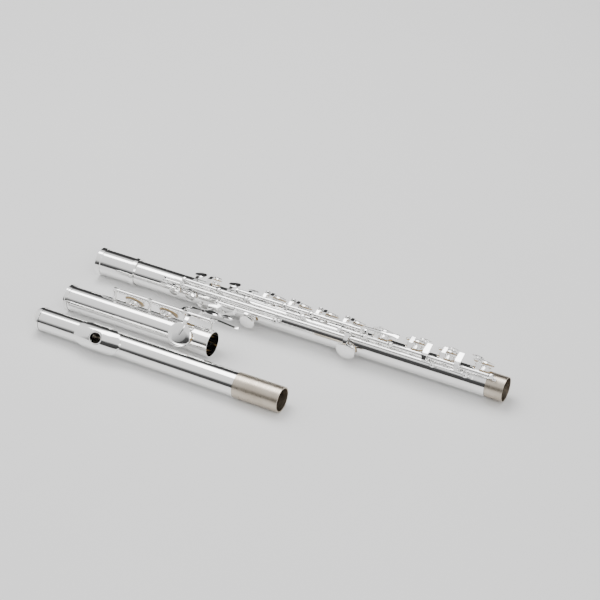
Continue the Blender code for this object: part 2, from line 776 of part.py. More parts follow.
def left_hand_keys():
    csharp = Key("c_key", MAIN, 1, [between(MAIN_POSTS, 0)])
    csharp.cup(CSHARP_X, CUP_LINE, CSHARP_CUP_R, SMALL_RIM_R)
    side_plate(csharp, LEFT_ONE_X, 7.7, 14.8, 20.0)

    touch = Key("a_touch", MAIN, 1, [between(MAIN_POSTS, 1), (A_X - 7, between(MAIN_POSTS, 2)[1])], pinned=True)
    touch.rod(MAIN_POSTS[1] - 0.6, MAIN_POSTS[3] + 2)
    side_plate(touch, LEFT_TWO_X, 8.6, 15.0, 20.0)
    touch.arm_path([MAIN.at(A_X), polar(A_X, 22.4, -18.5)], [4.0, 3.0], [2.0, 1.4])

    bflat = Key("bflat_key", UPPER, 1, [(LEFT_THREE_X + 7, between(UPPER_POSTS, 0)[1])])
    bflat.cup(BFLAT_X, CUP_LINE, CUP_R, RIM_R)
    lug(bflat, BFLAT_X - 8, CUP_LINE, RIM_R)

    a_key = Key("a_key", UPPER, 1, [between(UPPER_POSTS, 1)])
    a_key.cup(A_X, CUP_LINE, CUP_R, RIM_R)
    lug(a_key, A_X - 8, CUP_LINE, RIM_R)

    g_key = Key("g_key", UPPER, 1, [(between(UPPER_POSTS, 0)[0], LEFT_THREE_X + 6), between(UPPER_POSTS, 2)],
                pinned=True)
    g_key.rod(UPPER_POSTS[0] - 2, UPPER_POSTS[-1] + 2)
    side_plate(g_key, LEFT_THREE_X, 10.6, 12.6, 43.0)
    for x in (G_X, G_LOW_X):
        g_key.cup(x, CUP_LINE, CUP_R, RIM_R)
        lug(g_key, x - 7.5, CUP_LINE, RIM_R)
    return [(key, OPEN_ANGLE) for key in (csharp, touch, bflat, a_key, g_key)]


def gsharp_key():
    """Hinged on the main line: its arm passes over the trill tube and its bar lies under the little finger."""
    key = Key("gsharp_key", MAIN, -1, [between(MAIN_POSTS, 4)])
    x = GSHARP_X
    key.cup_only(x, GSHARP_ROLL, GSHARP_CUP_R, RIM_R)
    top = RIM_R + CUP_TOP
    out = polar(0, 1, GSHARP_ROLL)
    across = -polar(0, 1, GSHARP_ROLL - 90)
    route = [MAIN.at(x), polar(x, 21.6, -34), polar(x, 22.3, -45), polar(x, 22.2, -57),
             Vector((x, 0, 0)) + across * (GSHARP_CUP_R + 0.5) + out * top,
             Vector((x, 0, 0)) + across * 5.0 + out * (top + 0.3), Vector((x, 0, 0)) + out * (top + 0.1)]
    key.arm_path(route, [5.0, 4.8, 4.6, 4.4, 4.0, 2.6, 0.9], [2.2, 1.8, 1.7, 1.7, 1.7, 1.5, 1.0])
    bar_x = MAIN_POSTS[5] - 5.5
    bar = [MAIN.at(bar_x), (bar_x, -6.8, 22.0), (bar_x + 0.6, -6.4, 25.6), (bar_x + 3.5, -6.0, 27.3),
           (bar_x + 12, -5.6, 27.5), (F_X - 22, -5.0, 27.5), (F_X - 12, -4.6, 27.3)]
    key.arm_path(bar, [2.6] * 5 + [3.4, 5.6], [2.6] * 5 + [2.0, 1.4], sides=6)
    return [(key, 0.0)]


def right_hand_keys():
    keys = []
    spec = (("fsharp_key", FSHARP_X, None), ("f_key", F_X, RIGHT_ONE_X), ("e_key", E_X, RIGHT_TWO_X),
            ("d_key", D_X, RIGHT_THREE_X))
    for i, (name, x, plate_x) in enumerate(spec):
        key = Key(name, MAIN, 1, [between(MAIN_POSTS, 5 + i)])
        key.cup(x, CUP_LINE, CUP_R, RIM_R)
        if plate_x is not None:
            stem_plate(key, plate_x, CUP_LINE, RIM_R)
        keys.append((key, OPEN_ANGLE))
    return keys


def thumb_keys():
    """The thumb key and, beside it on the same rod, the thumb's second lever."""
    span = between(THUMB_POSTS, 0)
    split = THUMB_OVAL_X + 14
    lever = Key("thumb_bflat_key", THUMB, -1, [(span[0], split - END_PLAY)])
    x = THUMB_PLATE_X
    lever.arm_path([THUMB.at(span[0] + 3), polar(span[0], 21.6, -74), polar(x + 5, 22.0, -80)],
                   [4.0, 3.8, 3.6], [2.0, 1.7, 1.5])
    lever.plate(polar(x, 20.6, -82), polar(0, 1, -84), 5.0, stretch=(1.9, 1.0))
    thumb = Key("thumb_key", THUMB, -1, [(split + END_PLAY, span[1])])
    thumb.cup(THUMB_X, THUMB_ROLL, THUMB_CUP_R, RIM_R)
    thumb.arm_path([THUMB.at(split + 3), polar(split + 1, 21.8, -78), polar(THUMB_OVAL_X + 5, 22.0, -90)],
                   [4.0, 3.8, 3.6], [2.0, 1.7, 1.5])
    thumb.plate(polar(THUMB_OVAL_X, 20.6, -93), polar(0, 1, -93), 5.4, stretch=(1.7, 1.0))
    return [(lever, -OPEN_ANGLE), (thumb, -OPEN_ANGLE)]


def build_body():
    parent = section("body_joint", 0.0, 0.0, apothem(BARREL_RING_R))
    barrel(parent)
    body_tube(parent)
    tenon_solid = tenon(BODY_LENGTH - FOOT_TENON_LENGTH, BODY_LENGTH, BODY_BORE_R, FOOT_TENON_R)
    finish(tenon_solid, "foot_tenon", NICKEL, parent)
    rib = rib_with_posts(UPPER, UPPER_POSTS[0] - 6, UPPER_POSTS[-1] + 6, UPPER_POSTS,
                         UPPER_POSTS[0] - 6, UPPER_POSTS[-1] + 6)
    finish(rib, "upper_rib", SILVER, parent)
    rib = rib_with_posts(MAIN, MAIN_POSTS[0] - 6, MAIN_POSTS[-1] + 5, MAIN_POSTS,
                         MAIN_POSTS[0] - 6, MAIN_POSTS[-1] + 6, tail=8.0)
    over_bead = TUBE_R + BEAD_RISE + SEAT_GAP / 2
    cut(rib, [sleeve(BEAD_X - SEAT_GAP, BEAD_X + BEAD_WIDTH + SEAT_GAP, over_bead, TUBE_R - 1)])
    finish(rib, "main_rib", SILVER, parent)
    plain_rod("c_rod", MAIN, MAIN_POSTS[0] - 2, MAIN_POSTS[1] - 1.2, parent)
    plain_rod("main_rod", MAIN, MAIN_POSTS[4] - 2, MAIN_POSTS[-1] + 2, parent)
    plain_rod("thumb_rod", THUMB, THUMB_POSTS[0] - 2, THUMB_POSTS[-1] + 2, parent)
    keys = trill_keys(parent) + left_hand_keys() + gsharp_key() + right_hand_keys() + thumb_keys()
    for key, turn in keys:
        key.build(parent, turn)
    return parent


# Foot joint

FOOT_C_X = 72.0
FOOT_CSHARP_X = 114.0
FOOT_EB_X = 145.0
FOOT_CUP_LINE = 67.0
EB_ROLL = -52.0
EB_HOLE_R = 7.5
EB_CUP_R = 13.2
FOOT_POSTS = (55.0, 98.0, 141.0, 173.0)
SOCKET_OUTER_R = TUBE_R + SEAT_GAP + SOCKET_WALL
SOCKET_RING_R = SOCKET_OUTER_R + SOCKET_RING_RISE


def foot_tube(parent):
    end = FOOT_LENGTH - FOOT_TENON_LENGTH - END_PLAY
    tube = turned([(0, END_RING_WIDTH * 0.4), (TUBE_R, END_RING_WIDTH * 0.4), (TUBE_R, end), (0, end)],
                  TUBE_SIDES, ALONG_X)
    upper = [(x, FOOT_CUP_LINE, HOLE_R, RIM_R) for x in (FOOT_C_X, FOOT_CSHARP_X)]
    under = [(FOOT_EB_X, EB_ROLL, EB_HOLE_R, RIM_R)]
    union(tube, [chimney(*hole) for hole in upper + under])
    bore = TUBE_R - WALL
    cut(tube, [turned([(0, -1), (bore, -1), (bore, end + 1), (0, end + 1)], TUBE_SIDES, ALONG_X)])
    cut(tube, [hole_cutter(*hole) for hole in upper + under])
    return finish(tube, "foot_tube", SILVER, parent)


def foot_ring(parent):
    inner = TUBE_R + SEAT_GAP
    ring = TUBE_R + END_RING_RISE + SEAT_GAP
    lip = TUBE_R - WALL
    back = END_RING_WIDTH * 0.4 - SEAT_GAP
    profile = [(ring - 0.4, 0), (ring, 0.5), (ring, 2.0), (ring - 0.5, 2.5), (ring - 0.5, END_RING_WIDTH),
               (inner, END_RING_WIDTH), (inner, back), (lip, back), (lip, 0)]
    return finish(turned(profile, TUBE_SIDES, ALONG_X, closed=True), "foot_ring", SILVER, parent)


def foot_socket(parent):
    """The socket that takes the body's foot tenon, with the rod's last post on it."""
    over = TUBE_R + SEAT_GAP
    bore = FOOT_TENON_R + SLIDE_GAP
    outer = SOCKET_OUTER_R
    ring = SOCKET_RING_R
    start = FOOT_LENGTH - FOOT_TENON_LENGTH
    profile = [(outer, start - SOCKET_OVERLAP), (outer, FOOT_LENGTH - 2.4), (ring, FOOT_LENGTH - 2.0),
               (ring, FOOT_LENGTH), (bore, FOOT_LENGTH), (bore, start), (over, start),
               (over, start - SOCKET_OVERLAP)]
    socket = turned(profile, TUBE_SIDES, ALONG_X, closed=True)
    x = FOOT_POSTS[-1]
    sunk = outer - SOCKET_WALL / 2
    union(socket, [post(FOOT_HIGH, x, sunk, SOCKET_WALL / 2 + POST_FOOT_RISE)])
    cut(socket, [rod_cutter(FOOT_HIGH, x - 6, x + 6)])
    return finish(socket, "foot_socket", SILVER, parent)


def foot_keys():
    """Three keys on one line: the C key's rod runs inside the other two keys' tubes."""
    posts = FOOT_POSTS
    touch_end = between(posts, 2)[1]
    touch_start = touch_end - 5.0
    c_key = Key("foot_c_key", FOOT_HIGH, 1, [between(posts, 0), (touch_start, touch_end)], pinned=True)
    c_key.rod(posts[0] - 2, posts[-1] + 2)
    c_key.cup(FOOT_C_X, FOOT_CUP_LINE, CUP_R, RIM_R)
    x = (touch_start + touch_end) / 2
    c_key.arm_path([FOOT_HIGH.at(x), (x + 1, 11.8, 22.2), (x + 11, 13.2, 20.8), (x + 22, 12.4, 20.4),
                    (x + 30, 11.6, 20.4)], [4.0, 3.4, 3.0, 2.6, 2.4], [2.2, 2.0, 1.8, 1.6, 1.5], sides=6)
    c_key.plate((x + 31, 11.5, 19.6), (0, 0, 1), 2.6, thickness=1.8, sides=SMALL_SIDES)

    csharp = Key("foot_csharp_key", FOOT_HIGH, 1, [between(posts, 1)])
    csharp.cup(FOOT_CSHARP_X, FOOT_CUP_LINE, CUP_R, RIM_R)
    x = between(posts, 1)[1] - 3
    csharp.arm_path([FOOT_HIGH.at(x), (x + 1, 13.0, 23.6), (x + 8, 18.2, 22.6), (x + 24, 20.6, 21.6),
                     (x + 40, 20.8, 21.2)], [4.0, 3.6, 3.2, 3.2, 3.2], [2.2, 1.8, 1.6, 1.5, 1.4])
    csharp.plate((x + 47, 20.8, 20.4), (0, 0.1, 1), 3.4, stretch=(2.2, 1.0))

    eb_key = Key("foot_eb_key", FOOT_HIGH, -1, [(between(posts, 2)[0], touch_start - END_PLAY)])
    eb_key.cup_only(FOOT_EB_X, EB_ROLL, EB_CUP_R, RIM_R)
    x = FOOT_EB_X + 3
    eb_key.arm_path([FOOT_HIGH.at(x), polar(x, 25.6, 2), polar(x, 24.2, -14), polar(x - 1.5, 20.9, -33),
                     polar(FOOT_EB_X, RIM_R + CUP_TOP + 0.1, EB_ROLL)],
                    [4.4, 4.2, 3.8, 2.8, 1.2], [2.2, 2.0, 1.8, 1.5, 1.0])
    x = touch_start - 7
    eb_key.arm_path([FOOT_HIGH.at(x), (x, 8.6, 27.0), (x + 1, 10.6, 28.7), (x + 4, 12.6, 28.9)],
                    [4.2, 4.2, 4.6, 5.0], [2.0, 1.8, 1.6, 1.4])
    eb_key.plate((x + 10, 13.2, 28.2), (0, 0.05, 1), 4.2, stretch=(2.1, 1.0))
    return [(c_key, OPEN_ANGLE), (csharp, OPEN_ANGLE), (eb_key, 0.0)]


def build_foot():
    parent = section("foot_joint", FOOT_X, FOOT_Y, apothem(SOCKET_RING_R))
    foot_socket(parent)
    foot_tube(parent)
    foot_ring(parent)
    posts = FOOT_POSTS
    rib = rib_with_posts(FOOT_HIGH, posts[0] - 4, FOOT_LENGTH - FOOT_TENON_LENGTH - SOCKET_OVERLAP - 1, posts[:3],
                         posts[0] - 6, posts[2] + 6, tail=11.0)
    finish(rib, "foot_rib", SILVER, parent)
    for key, turn in foot_keys():
        key.build(parent, turn)
    return parent


def centre_on_floor(parents):
    """Shift the joints so that the whole lies centred over the origin."""
    bpy.context.view_layer.update()
    low = Vector((1e9, 1e9))
    high = Vector((-1e9, -1e9))
    for obj in bpy.data.objects:
        if obj.type == 'MESH':
            for vertex in obj.data.vertices:
                p = obj.matrix_world @ vertex.co
                low = Vector((min(low.x, p.x), min(low.y, p.y)))
                high = Vector((max(high.x, p.x), max(high.y, p.y)))
    middle = (low + high) / 2
    for parent in parents:
        parent.location.x -= middle.x
        parent.location.y -= middle.y
    bpy.context.view_layer.update()


def main():
    clear_scene()
    parents = [build_head(), build_body(), build_foot()]
    centre_on_floor(parents)


main()
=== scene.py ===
"""Looks of the alto flute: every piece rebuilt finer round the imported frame, in polished silver.

Each joint is modelled along its own tube axis (X), in millimetres. A place round the tube is given as a
radius and a roll angle, counted from straight up towards the far side (+Y). Every key is modelled with its
pad shut on the tone hole and is then turned about its rod to where it stands at rest.
"""

import json
import math

import bmesh
import bpy
from mathutils import Matrix, Vector

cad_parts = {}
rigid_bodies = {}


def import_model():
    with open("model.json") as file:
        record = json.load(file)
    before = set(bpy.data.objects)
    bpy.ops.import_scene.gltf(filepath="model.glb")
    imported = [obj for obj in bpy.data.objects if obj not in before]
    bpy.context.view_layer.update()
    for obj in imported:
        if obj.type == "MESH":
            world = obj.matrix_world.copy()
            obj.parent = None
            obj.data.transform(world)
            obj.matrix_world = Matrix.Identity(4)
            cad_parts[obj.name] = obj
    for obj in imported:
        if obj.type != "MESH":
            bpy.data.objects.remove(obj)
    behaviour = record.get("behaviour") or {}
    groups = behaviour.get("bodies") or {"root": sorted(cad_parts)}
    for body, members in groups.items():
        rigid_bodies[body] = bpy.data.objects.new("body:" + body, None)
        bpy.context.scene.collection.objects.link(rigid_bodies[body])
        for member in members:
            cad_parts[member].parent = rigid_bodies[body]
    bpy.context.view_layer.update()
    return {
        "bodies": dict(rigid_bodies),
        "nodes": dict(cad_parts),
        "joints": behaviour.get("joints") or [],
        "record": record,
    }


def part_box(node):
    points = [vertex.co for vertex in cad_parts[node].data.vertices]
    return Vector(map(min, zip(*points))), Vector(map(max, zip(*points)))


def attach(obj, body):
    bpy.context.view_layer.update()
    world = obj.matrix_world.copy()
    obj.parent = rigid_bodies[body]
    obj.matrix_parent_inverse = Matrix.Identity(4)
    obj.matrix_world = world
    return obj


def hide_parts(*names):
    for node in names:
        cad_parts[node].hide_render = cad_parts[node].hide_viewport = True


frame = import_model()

MM = 0.001

# Clearances
SEAT_GAP = 0.3
RUN_GAP = 0.25
SLIDE_GAP = 0.15

# Facets of round pieces
TUBE_SIDES = 96
CUP_SIDES = 48
SMALL_SIDES = 20
POST_SIDES = 20

# Tubes
TUBE_R = 13.45
WALL = 0.45
CROWN_END_R = 12.3
HEAD_LENGTH = 294.0
HEAD_TENON_LENGTH = 51.0
BODY_LENGTH = 478.0
BARREL_LENGTH = 48.0
BARREL_OVERLAP = 5.0
BARREL_WALL = 0.9
BARREL_RING_WIDTH = 5.5
BARREL_RING_RISE = 0.9
FOOT_TENON_LENGTH = 19.0
FOOT_TENON_R = 13.05
TENON_SPIGOT = 7.0
FOOT_LENGTH = 176.0
SOCKET_OVERLAP = 3.0
SOCKET_WALL = 0.5
SOCKET_RING_RISE = 0.3
END_RING_RISE = 0.7
END_RING_WIDTH = 5.0
BEAD_X = 443.0
BEAD_WIDTH = 1.8
BEAD_RISE = 0.5

# Crown and stopper inside the head tube
CROWN_DOME = 6.8
CROWN_RING_WIDTH = 3.0
CROWN_RING_RISE = 0.7
CROWN_SPIGOT = 7.0
STOPPER_SETBACK = 22.0
CORK_LENGTH = 17.0
PLATE_THICKNESS = 1.2
STOPPER_ROD_R = 1.5

# Embouchure
EMBOUCHURE_X = 83.0
EMBOUCHURE_ROLL = -50.0
EMBOUCHURE_LONG = 6.6
EMBOUCHURE_SHORT = 5.8
RISER_WALL = 1.0
RISER_HEIGHT = 4.6
LIP_LENGTH = 54.0
LIP_HALF_ANGLE = 72.0
LIP_EDGE = 1.4
LIP_GAP = 0.4

# Tone holes and cups
RIM_R = 15.3
CHIMNEY_WALL = 0.5
RIM_BEAD = 0.35
HOLE_R = 9.0
CUP_R = 11.75
CUP_WALL = 0.65
CUP_DEPTH = 1.9
CUP_TOP = 3.9
PAD_THICKNESS = 2.4
PAD_LIFT = 0.3

# Hinges
ROD_R = 1.1
HINGE_R = 2.2
BALL_R = 3.0
POST_R = 1.5
POST_FOOT_R = 2.5
POST_FOOT_RISE = 0.8
POST_FOOT_SINK = 0.5
RIB_THICKNESS = 0.9
RIB_HALF_ANGLE = 6.0
END_PLAY = 0.4


class Line:
    """A rod's place round the tube."""

    def __init__(self, radius, roll):
        self.radius = radius
        self.roll = roll

    def at(self, x):
        return polar(x, self.radius, self.roll)


def polar(x, radius, roll):
    a = math.radians(roll)
    return Vector((x, radius * math.sin(a), radius * math.cos(a)))


UPPER = Line(20.0, -6.0)
MAIN = Line(19.0, -25.0)
TRILL = Line(18.0, -44.0)
THUMB = Line(18.7, -64.0)
FOOT_HIGH = Line(25.0, 17.0)

CUP_LINE = 51.0
OPEN_ANGLE = 7.0

# Material slots of the record
SILVER = "silver_plate"
NICKEL = "nickel_silver"
STEEL = "steel_rod"
PAD = "pad_skin"
CORK = "cork"


# Mesh building

def mesh_object(verts, faces):
    """A closed solid from points in millimetres, faces pointing out."""
    bm = bmesh.new()
    points = [bm.verts.new(v) for v in verts]
    for face in faces:
        bm.faces.new([points[i] for i in face])
    bmesh.ops.recalc_face_normals(bm, faces=bm.faces)
    mesh = bpy.data.meshes.new("solid")
    bm.to_mesh(mesh)
    bm.free()
    obj = bpy.data.objects.new("solid", mesh)
    bpy.context.collection.objects.link(obj)
    return obj


def axis_frame(origin, axis):
    """Local z along the axis and, where it can be, local x along the tube."""
    z = Vector(axis).normalized()
    guide = Vector((1, 0, 0)) if abs(z.x) < 0.9 else Vector((0, 1, 0))
    y = z.cross(guide).normalized()
    x = y.cross(z)
    frame = Matrix((x, y, z)).transposed().to_4x4()
    frame.translation = Vector(origin)
    return frame


def turned(profile, sides, frame, closed=False, stretch=(1.0, 1.0), phase=0.5):
    """Turn (radius, height) points about the frame's z."""
    verts = []
    rings = []
    for radius, height in profile:
        ring = []
        count = 1 if radius < 1e-6 else sides
        for k in range(count):
            a = 2 * math.pi * (k + phase) / sides
            local = Vector((radius * stretch[0] * math.cos(a), radius * stretch[1] * math.sin(a), height))
            ring.append(len(verts))
            verts.append(frame @ local)
        rings.append(ring)
    faces = []
    pairs = list(zip(rings, rings[1:]))
    if closed:
        pairs.append((rings[-1], rings[0]))
    for low, high in pairs:
        for k in range(sides):
            n = (k + 1) % sides
            if len(low) == 1:
                faces.append((low[0], high[n], high[k]))
            elif len(high) == 1:
                faces.append((low[k], low[n], high[0]))
            else:
                faces.append((low[k], low[n], high[n], high[k]))
    return mesh_object(verts, faces)


ALONG_X = axis_frame((0, 0, 0), (1, 0, 0))


def sleeve(x0, x1, outer, inner, sides=TUBE_SIDES):
    return turned([(outer, x0), (outer, x1), (inner, x1), (inner, x0)], sides, ALONG_X, closed=True)


def cylinder(start, end, radius, sides=SMALL_SIDES, end_radius=None):
    start = Vector(start)
    along = Vector(end) - start
    frame = axis_frame(start, along)
    top = radius if end_radius is None else end_radius
    return turned([(0, 0), (radius, 0), (top, along.length), (0, along.length)], sides, frame)


def swept(points, widths, thicknesses, sides=4):
    """A bar along points, its width square to the radius from the tube and its thickness along it."""
    points = [Vector(p) for p in points]
    verts = []
    for i, p in enumerate(points):
        ahead = points[min(i + 1, len(points) - 1)] - points[max(i - 1, 0)]
        out = Vector((0, p.y, p.z))
        side = ahead.cross(out)
        if side.length < 1e-3:
            side = Vector((1, 0, 0))
        side.normalize()
        out = side.cross(ahead).normalized()
        for k in range(sides):
            a = 2 * math.pi * (k + 0.5) / sides
            grow = 1 / math.cos(math.pi / sides)
            verts.append(p + side * (math.cos(a) * grow * widths[i] / 2)
                         + out * (math.sin(a) * grow * thicknesses[i] / 2))
    faces = [tuple(range(sides)), tuple(range(len(verts) - 1, len(verts) - sides - 1, -1))]
    for i in range(len(points) - 1):
        for k in range(sides):
            n = (k + 1) % sides
            faces.append((i * sides + k, i * sides + n, (i + 1) * sides + n, (i + 1) * sides + k))
    return mesh_object(verts, faces)


def boolean(target, tools, operation):
    for tool in tools:
        mod = target.modifiers.new("cut", 'BOOLEAN')
        mod.operation = operation
        mod.object = tool
        mod.solver = 'EXACT'
    bpy.context.view_layer.update()
    graph = bpy.context.evaluated_depsgraph_get()
    mesh = bpy.data.meshes.new_from_object(target.evaluated_get(graph))
    target.modifiers.clear()
    target.data = mesh
    for tool in tools:
        bpy.data.objects.remove(tool)
    return target


def union(target, tools):
    return boolean(target, tools, 'UNION')


def cut(target, tools):
    return boolean(target, tools, 'DIFFERENCE')


def finish(obj, name, slot, parent, pivot=(0, 0, 0), turn=0.0):
    """Set a solid in its rest pose in the frame, give it its finish and let it ride on its body."""
    pivot = Vector(pivot)
    turned_to_rest = Matrix.Rotation(math.radians(turn), 4, 'X')
    place = Matrix.Translation(parent + pivot) @ turned_to_rest @ Matrix.Translation(-pivot)
    obj.data.transform(Matrix.Scale(MM, 4) @ place)
    bm = bmesh.new()
    bm.from_mesh(obj.data)
    bmesh.ops.remove_doubles(bm, verts=bm.verts, dist=1e-6)
    bmesh.ops.dissolve_degenerate(bm, edges=bm.edges, dist=1e-7)
    bm.to_mesh(obj.data)
    bm.free()
    obj.data.name = name + "_look"
    obj.name = name + "_look"
    obj.data.materials.clear()
    obj.data.materials.append(MATERIALS[slot])
    obj.data.shade_smooth()
    obj.data.set_sharp_from_angle(angle=math.radians(32))
    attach(obj, BODY_OF[name])
    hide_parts(name)
    return obj


def section(node):
    """The left end of a joint's axis in millimetres, found from the round node at that end."""
    low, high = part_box(node)
    return Vector((low.x, (low.y + high.y) / 2, (low.z + high.z) / 2)) / MM


# Tubes, sockets and tenons

def tenon(x0, x1, tube_inner, outer):
    """A sleeve whose thinner end sits inside the tube."""
    inner = tube_inner - SEAT_GAP
    bore = inner - WALL
    step = x0 + SEAT_GAP
    profile = [(inner, x0 - TENON_SPIGOT), (inner, step), (outer, step), (outer, x1), (bore, x1),
               (bore, x0 - TENON_SPIGOT)]
    return turned(profile, TUBE_SIDES, ALONG_X, closed=True)


def chimney(x, roll, hole_r, rim):
    """A drawn tone hole's wall, from inside the tube up to its rolled rim."""
    frame = axis_frame((x, 0, 0), polar(0, 1, roll))
    outer = hole_r + CHIMNEY_WALL
    start = math.sqrt(max(TUBE_R ** 2 - outer ** 2, 1.0)) - 1.2
    profile = [(0, start), (outer, start), (outer, rim - 0.7), (outer + RIM_BEAD, rim), (0, rim)]
    return turned(profile, CUP_SIDES, frame)


def hole_cutter(x, roll, hole_r, rim):
    frame = axis_frame((x, 0, 0), polar(0, 1, roll))
    return turned([(0, 5.0), (hole_r, 5.0), (hole_r, rim + 2.0), (0, rim + 2.0)], CUP_SIDES, frame)


def line_frame(line, x):
    """Local z along the rod and local x straight out from the tube."""
    out = polar(0, 1, line.roll)
    along = Vector((1, 0, 0))
    frame = Matrix((out, along.cross(out), along)).transposed().to_4x4()
    frame.translation = line.at(x)
    return frame


def post(line, x, foot_r, foot=0.0):
    """A ball post turned in one piece; foot is the thickness of its round foot, if it has one."""
    top = line.radius
    profile = [(0, foot_r)]
    if foot:
        profile += [(POST_FOOT_R, foot_r), (POST_FOOT_R, foot_r + foot)]
    else:
        profile.append((POST_R * 1.25, foot_r))
    neck = foot_r + foot + 0.4
    profile += [(POST_R * 1.25, neck), (POST_R, top - BALL_R * 0.88)]
    for angle in (-32, 12, 54):
        a = math.radians(angle)
        profile.append((BALL_R * math.cos(a), top + BALL_R * math.sin(a)))
    profile.append((0, top + BALL_R))
    return turned(profile, POST_SIDES, axis_frame((x, 0, 0), polar(0, 1, line.roll)))


def rod_cutter(line, x0, x1):
    radius = ROD_R + RUN_GAP
    return turned([(0, 0), (radius, 0), (radius, x1 - x0), (0, x1 - x0)], SMALL_SIDES, line_frame(line, x0))


def strap(line, x0, x1, tail=0.0):
    """A rib: a curved strap along the tube, its left end drawn out to a point when tail is given."""
    inner = TUBE_R + SEAT_GAP
    outer = inner + RIB_THICKNESS
    stations = [(x0, RIB_HALF_ANGLE), (x1, RIB_HALF_ANGLE)]
    if tail:
        stations.insert(0, (x0 - tail, RIB_HALF_ANGLE * 0.2))
    steps = 4
    verts = []
    for x, half in stations:
        for radius in (inner, outer):
            for k in range(steps + 1):
                verts.append(polar(x, radius, line.roll - half + 2 * half * k / steps))
    row = 2 * (steps + 1)
    faces = []
    for s in range(len(stations) - 1):
        a = s * row
        b = a + row
        for k in range(steps):
            faces.append((a + k, a + k + 1, b + k + 1, b + k))
            c = a + steps + 1
            d = b + steps + 1
            faces.append((c + k, d + k, d + k + 1, c + k + 1))
        faces.append((a, b, b + steps + 1, a + steps + 1))
        faces.append((a + steps, a + row - 1, b + row - 1, b + steps))
    for base in (0, (len(stations) - 1) * row):
        for k in range(steps):
            faces.append((base + k, base + k + 1, base + steps + 2 + k, base + steps + 1 + k))
    return mesh_object(verts, faces)


def rib_with_posts(line, x0, x1, posts, bore_from, bore_to, tail=0.0):
    rib = strap(line, x0, x1, tail)
    foot = TUBE_R + SEAT_GAP + RIB_THICKNESS / 2
    parts = []
    for x in posts:
        parts.append(post(line, x, foot))
    union(rib, parts)
    return cut(rib, [rod_cutter(line, bore_from, bore_to)])


# Keys

class Key:
    """A key in the making: its solid, its rod's line and how it opens."""

    def __init__(self, name, line, side, sections, pinned=False):
        self.name = name
        self.line = line
        self.side = side
        self.pinned = pinned
        self.parts = []
        self.pads = []
        x0, x1 = sections[0]
        self.middle = (x0 + x1) / 2
        self.sections = sections
        self.solid = self.tube(x0, x1)
        for start, end in sections[1:]:
            self.parts.append(self.tube(start, end))

    def tube(self, x0, x1):
        return cylinder(self.line.at(x0), self.line.at(x1), HINGE_R)

    def rod(self, x0, x1):
        self.parts.append(cylinder(self.line.at(x0), self.line.at(x1), ROD_R))

    def cup(self, x, roll, cup_r, rim):
        """A cup with its pad, and its pointed arm."""
        self.cup_only(x, roll, cup_r, rim)
        self.arm(x, roll, cup_r, rim)

    def cup_only(self, x, roll, cup_r, rim):
        """The cup over a tone hole and its pad."""
        frame = axis_frame((x, 0, 0), polar(0, 1, roll))
        skirt = rim + CUP_DEPTH - 0.9
        roof = rim + PAD_LIFT + PAD_THICKNESS + SEAT_GAP
        inner = cup_r - CUP_WALL
        profile = [(0, rim + CUP_TOP), (cup_r * 0.55, rim + CUP_TOP - 0.1), (cup_r * 0.9, rim + CUP_TOP - 0.5),
                   (cup_r, rim + CUP_TOP - 1.3), (cup_r, skirt), (inner, skirt), (inner, roof), (0, roof)]
        self.parts.append(turned(profile, CUP_SIDES, frame))
        pad_r = inner - SEAT_GAP
        face = rim + PAD_LIFT
        pad_profile = [(0, face), (pad_r - 0.7, face), (pad_r, face + 0.6), (pad_r, face + PAD_THICKNESS),
                       (0, face + PAD_THICKNESS)]
        self.pads.append(turned(pad_profile, CUP_SIDES, frame))

    def arm(self, x, roll, cup_r, rim):
        """The pointed arm: up from the hinge tube, round the cup's edge and in to its centre."""
        out = polar(0, 1, roll)
        across = self.side * polar(0, 1, roll - 90)
        hinge = self.line.at(0)
        level = hinge.dot(out)
        reach = hinge.dot(across)
        top = rim + CUP_TOP
        route = [(reach, level), (reach - 0.8, (level + top) / 2 + 1.0), (cup_r + 0.7, top - 0.1),
                 (cup_r * 0.6, top + 0.25), (0.0, top + 0.1)]
        points = [Vector((x, 0, 0)) + across * lateral + out * height for lateral, height in route]
        self.parts.append(swept(points, [4.6, 4.2, 3.8, 2.6, 0.9], [2.2, 2.0, 1.7, 1.5, 1.0]))

    def arm_path(self, points, widths, thicknesses, sides=4):
        self.parts.append(swept(points, widths, thicknesses, sides))

    def plate(self, centre, facing, radius, thickness=1.5, stretch=(1.0, 1.0), sides=14):
        """A finger plate with a rounded top edge."""
        frame = axis_frame(centre, facing)
        profile = [(0, thickness), (radius * 0.82, thickness * 0.95), (radius, thickness * 0.5),
                   (radius * 0.92, 0), (0, 0)]
        self.parts.append(turned(profile, sides, frame, stretch=stretch))

    def build(self, parent, turn):
        """Fuse the pieces, bore the hinge tubes and set the key in its rest pose."""
        union(self.solid, self.parts)
        cutters = []
        if not self.pinned:
            for x0, x1 in self.sections:
                cutters.append(cylinder(self.line.at(x0 - 1), self.line.at(x1 + 1), ROD_R + RUN_GAP))
        if cutters:
            cut(self.solid, cutters)
        pivot = self.line.at(self.middle)
        key = finish(self.solid, self.name, SILVER, parent, pivot, turn)
        for i, pad in enumerate(self.pads):
            suffix = "" if len(self.pads) == 1 else "_" + str(i + 1)
            finish(pad, self.name.replace("_key", "") + "_pad" + suffix, PAD, parent, pivot, turn)
        return key


# Head joint

def head_radius(x):
    """The head tube's outside, narrowing towards the crown."""
    return CROWN_END_R + (TUBE_R - CROWN_END_R) * max(x / HEAD_LENGTH, 0.0) ** 0.6


TUBE_START = CROWN_DOME + CROWN_RING_WIDTH + SEAT_GAP
TUBE_END = HEAD_LENGTH - HEAD_TENON_LENGTH
HEAD_SHORT_R = head_radius(EMBOUCHURE_X)
STOPPER_FACE = EMBOUCHURE_X - STOPPER_SETBACK
EMBOUCHURE_OUT = polar(0, 1, EMBOUCHURE_ROLL)


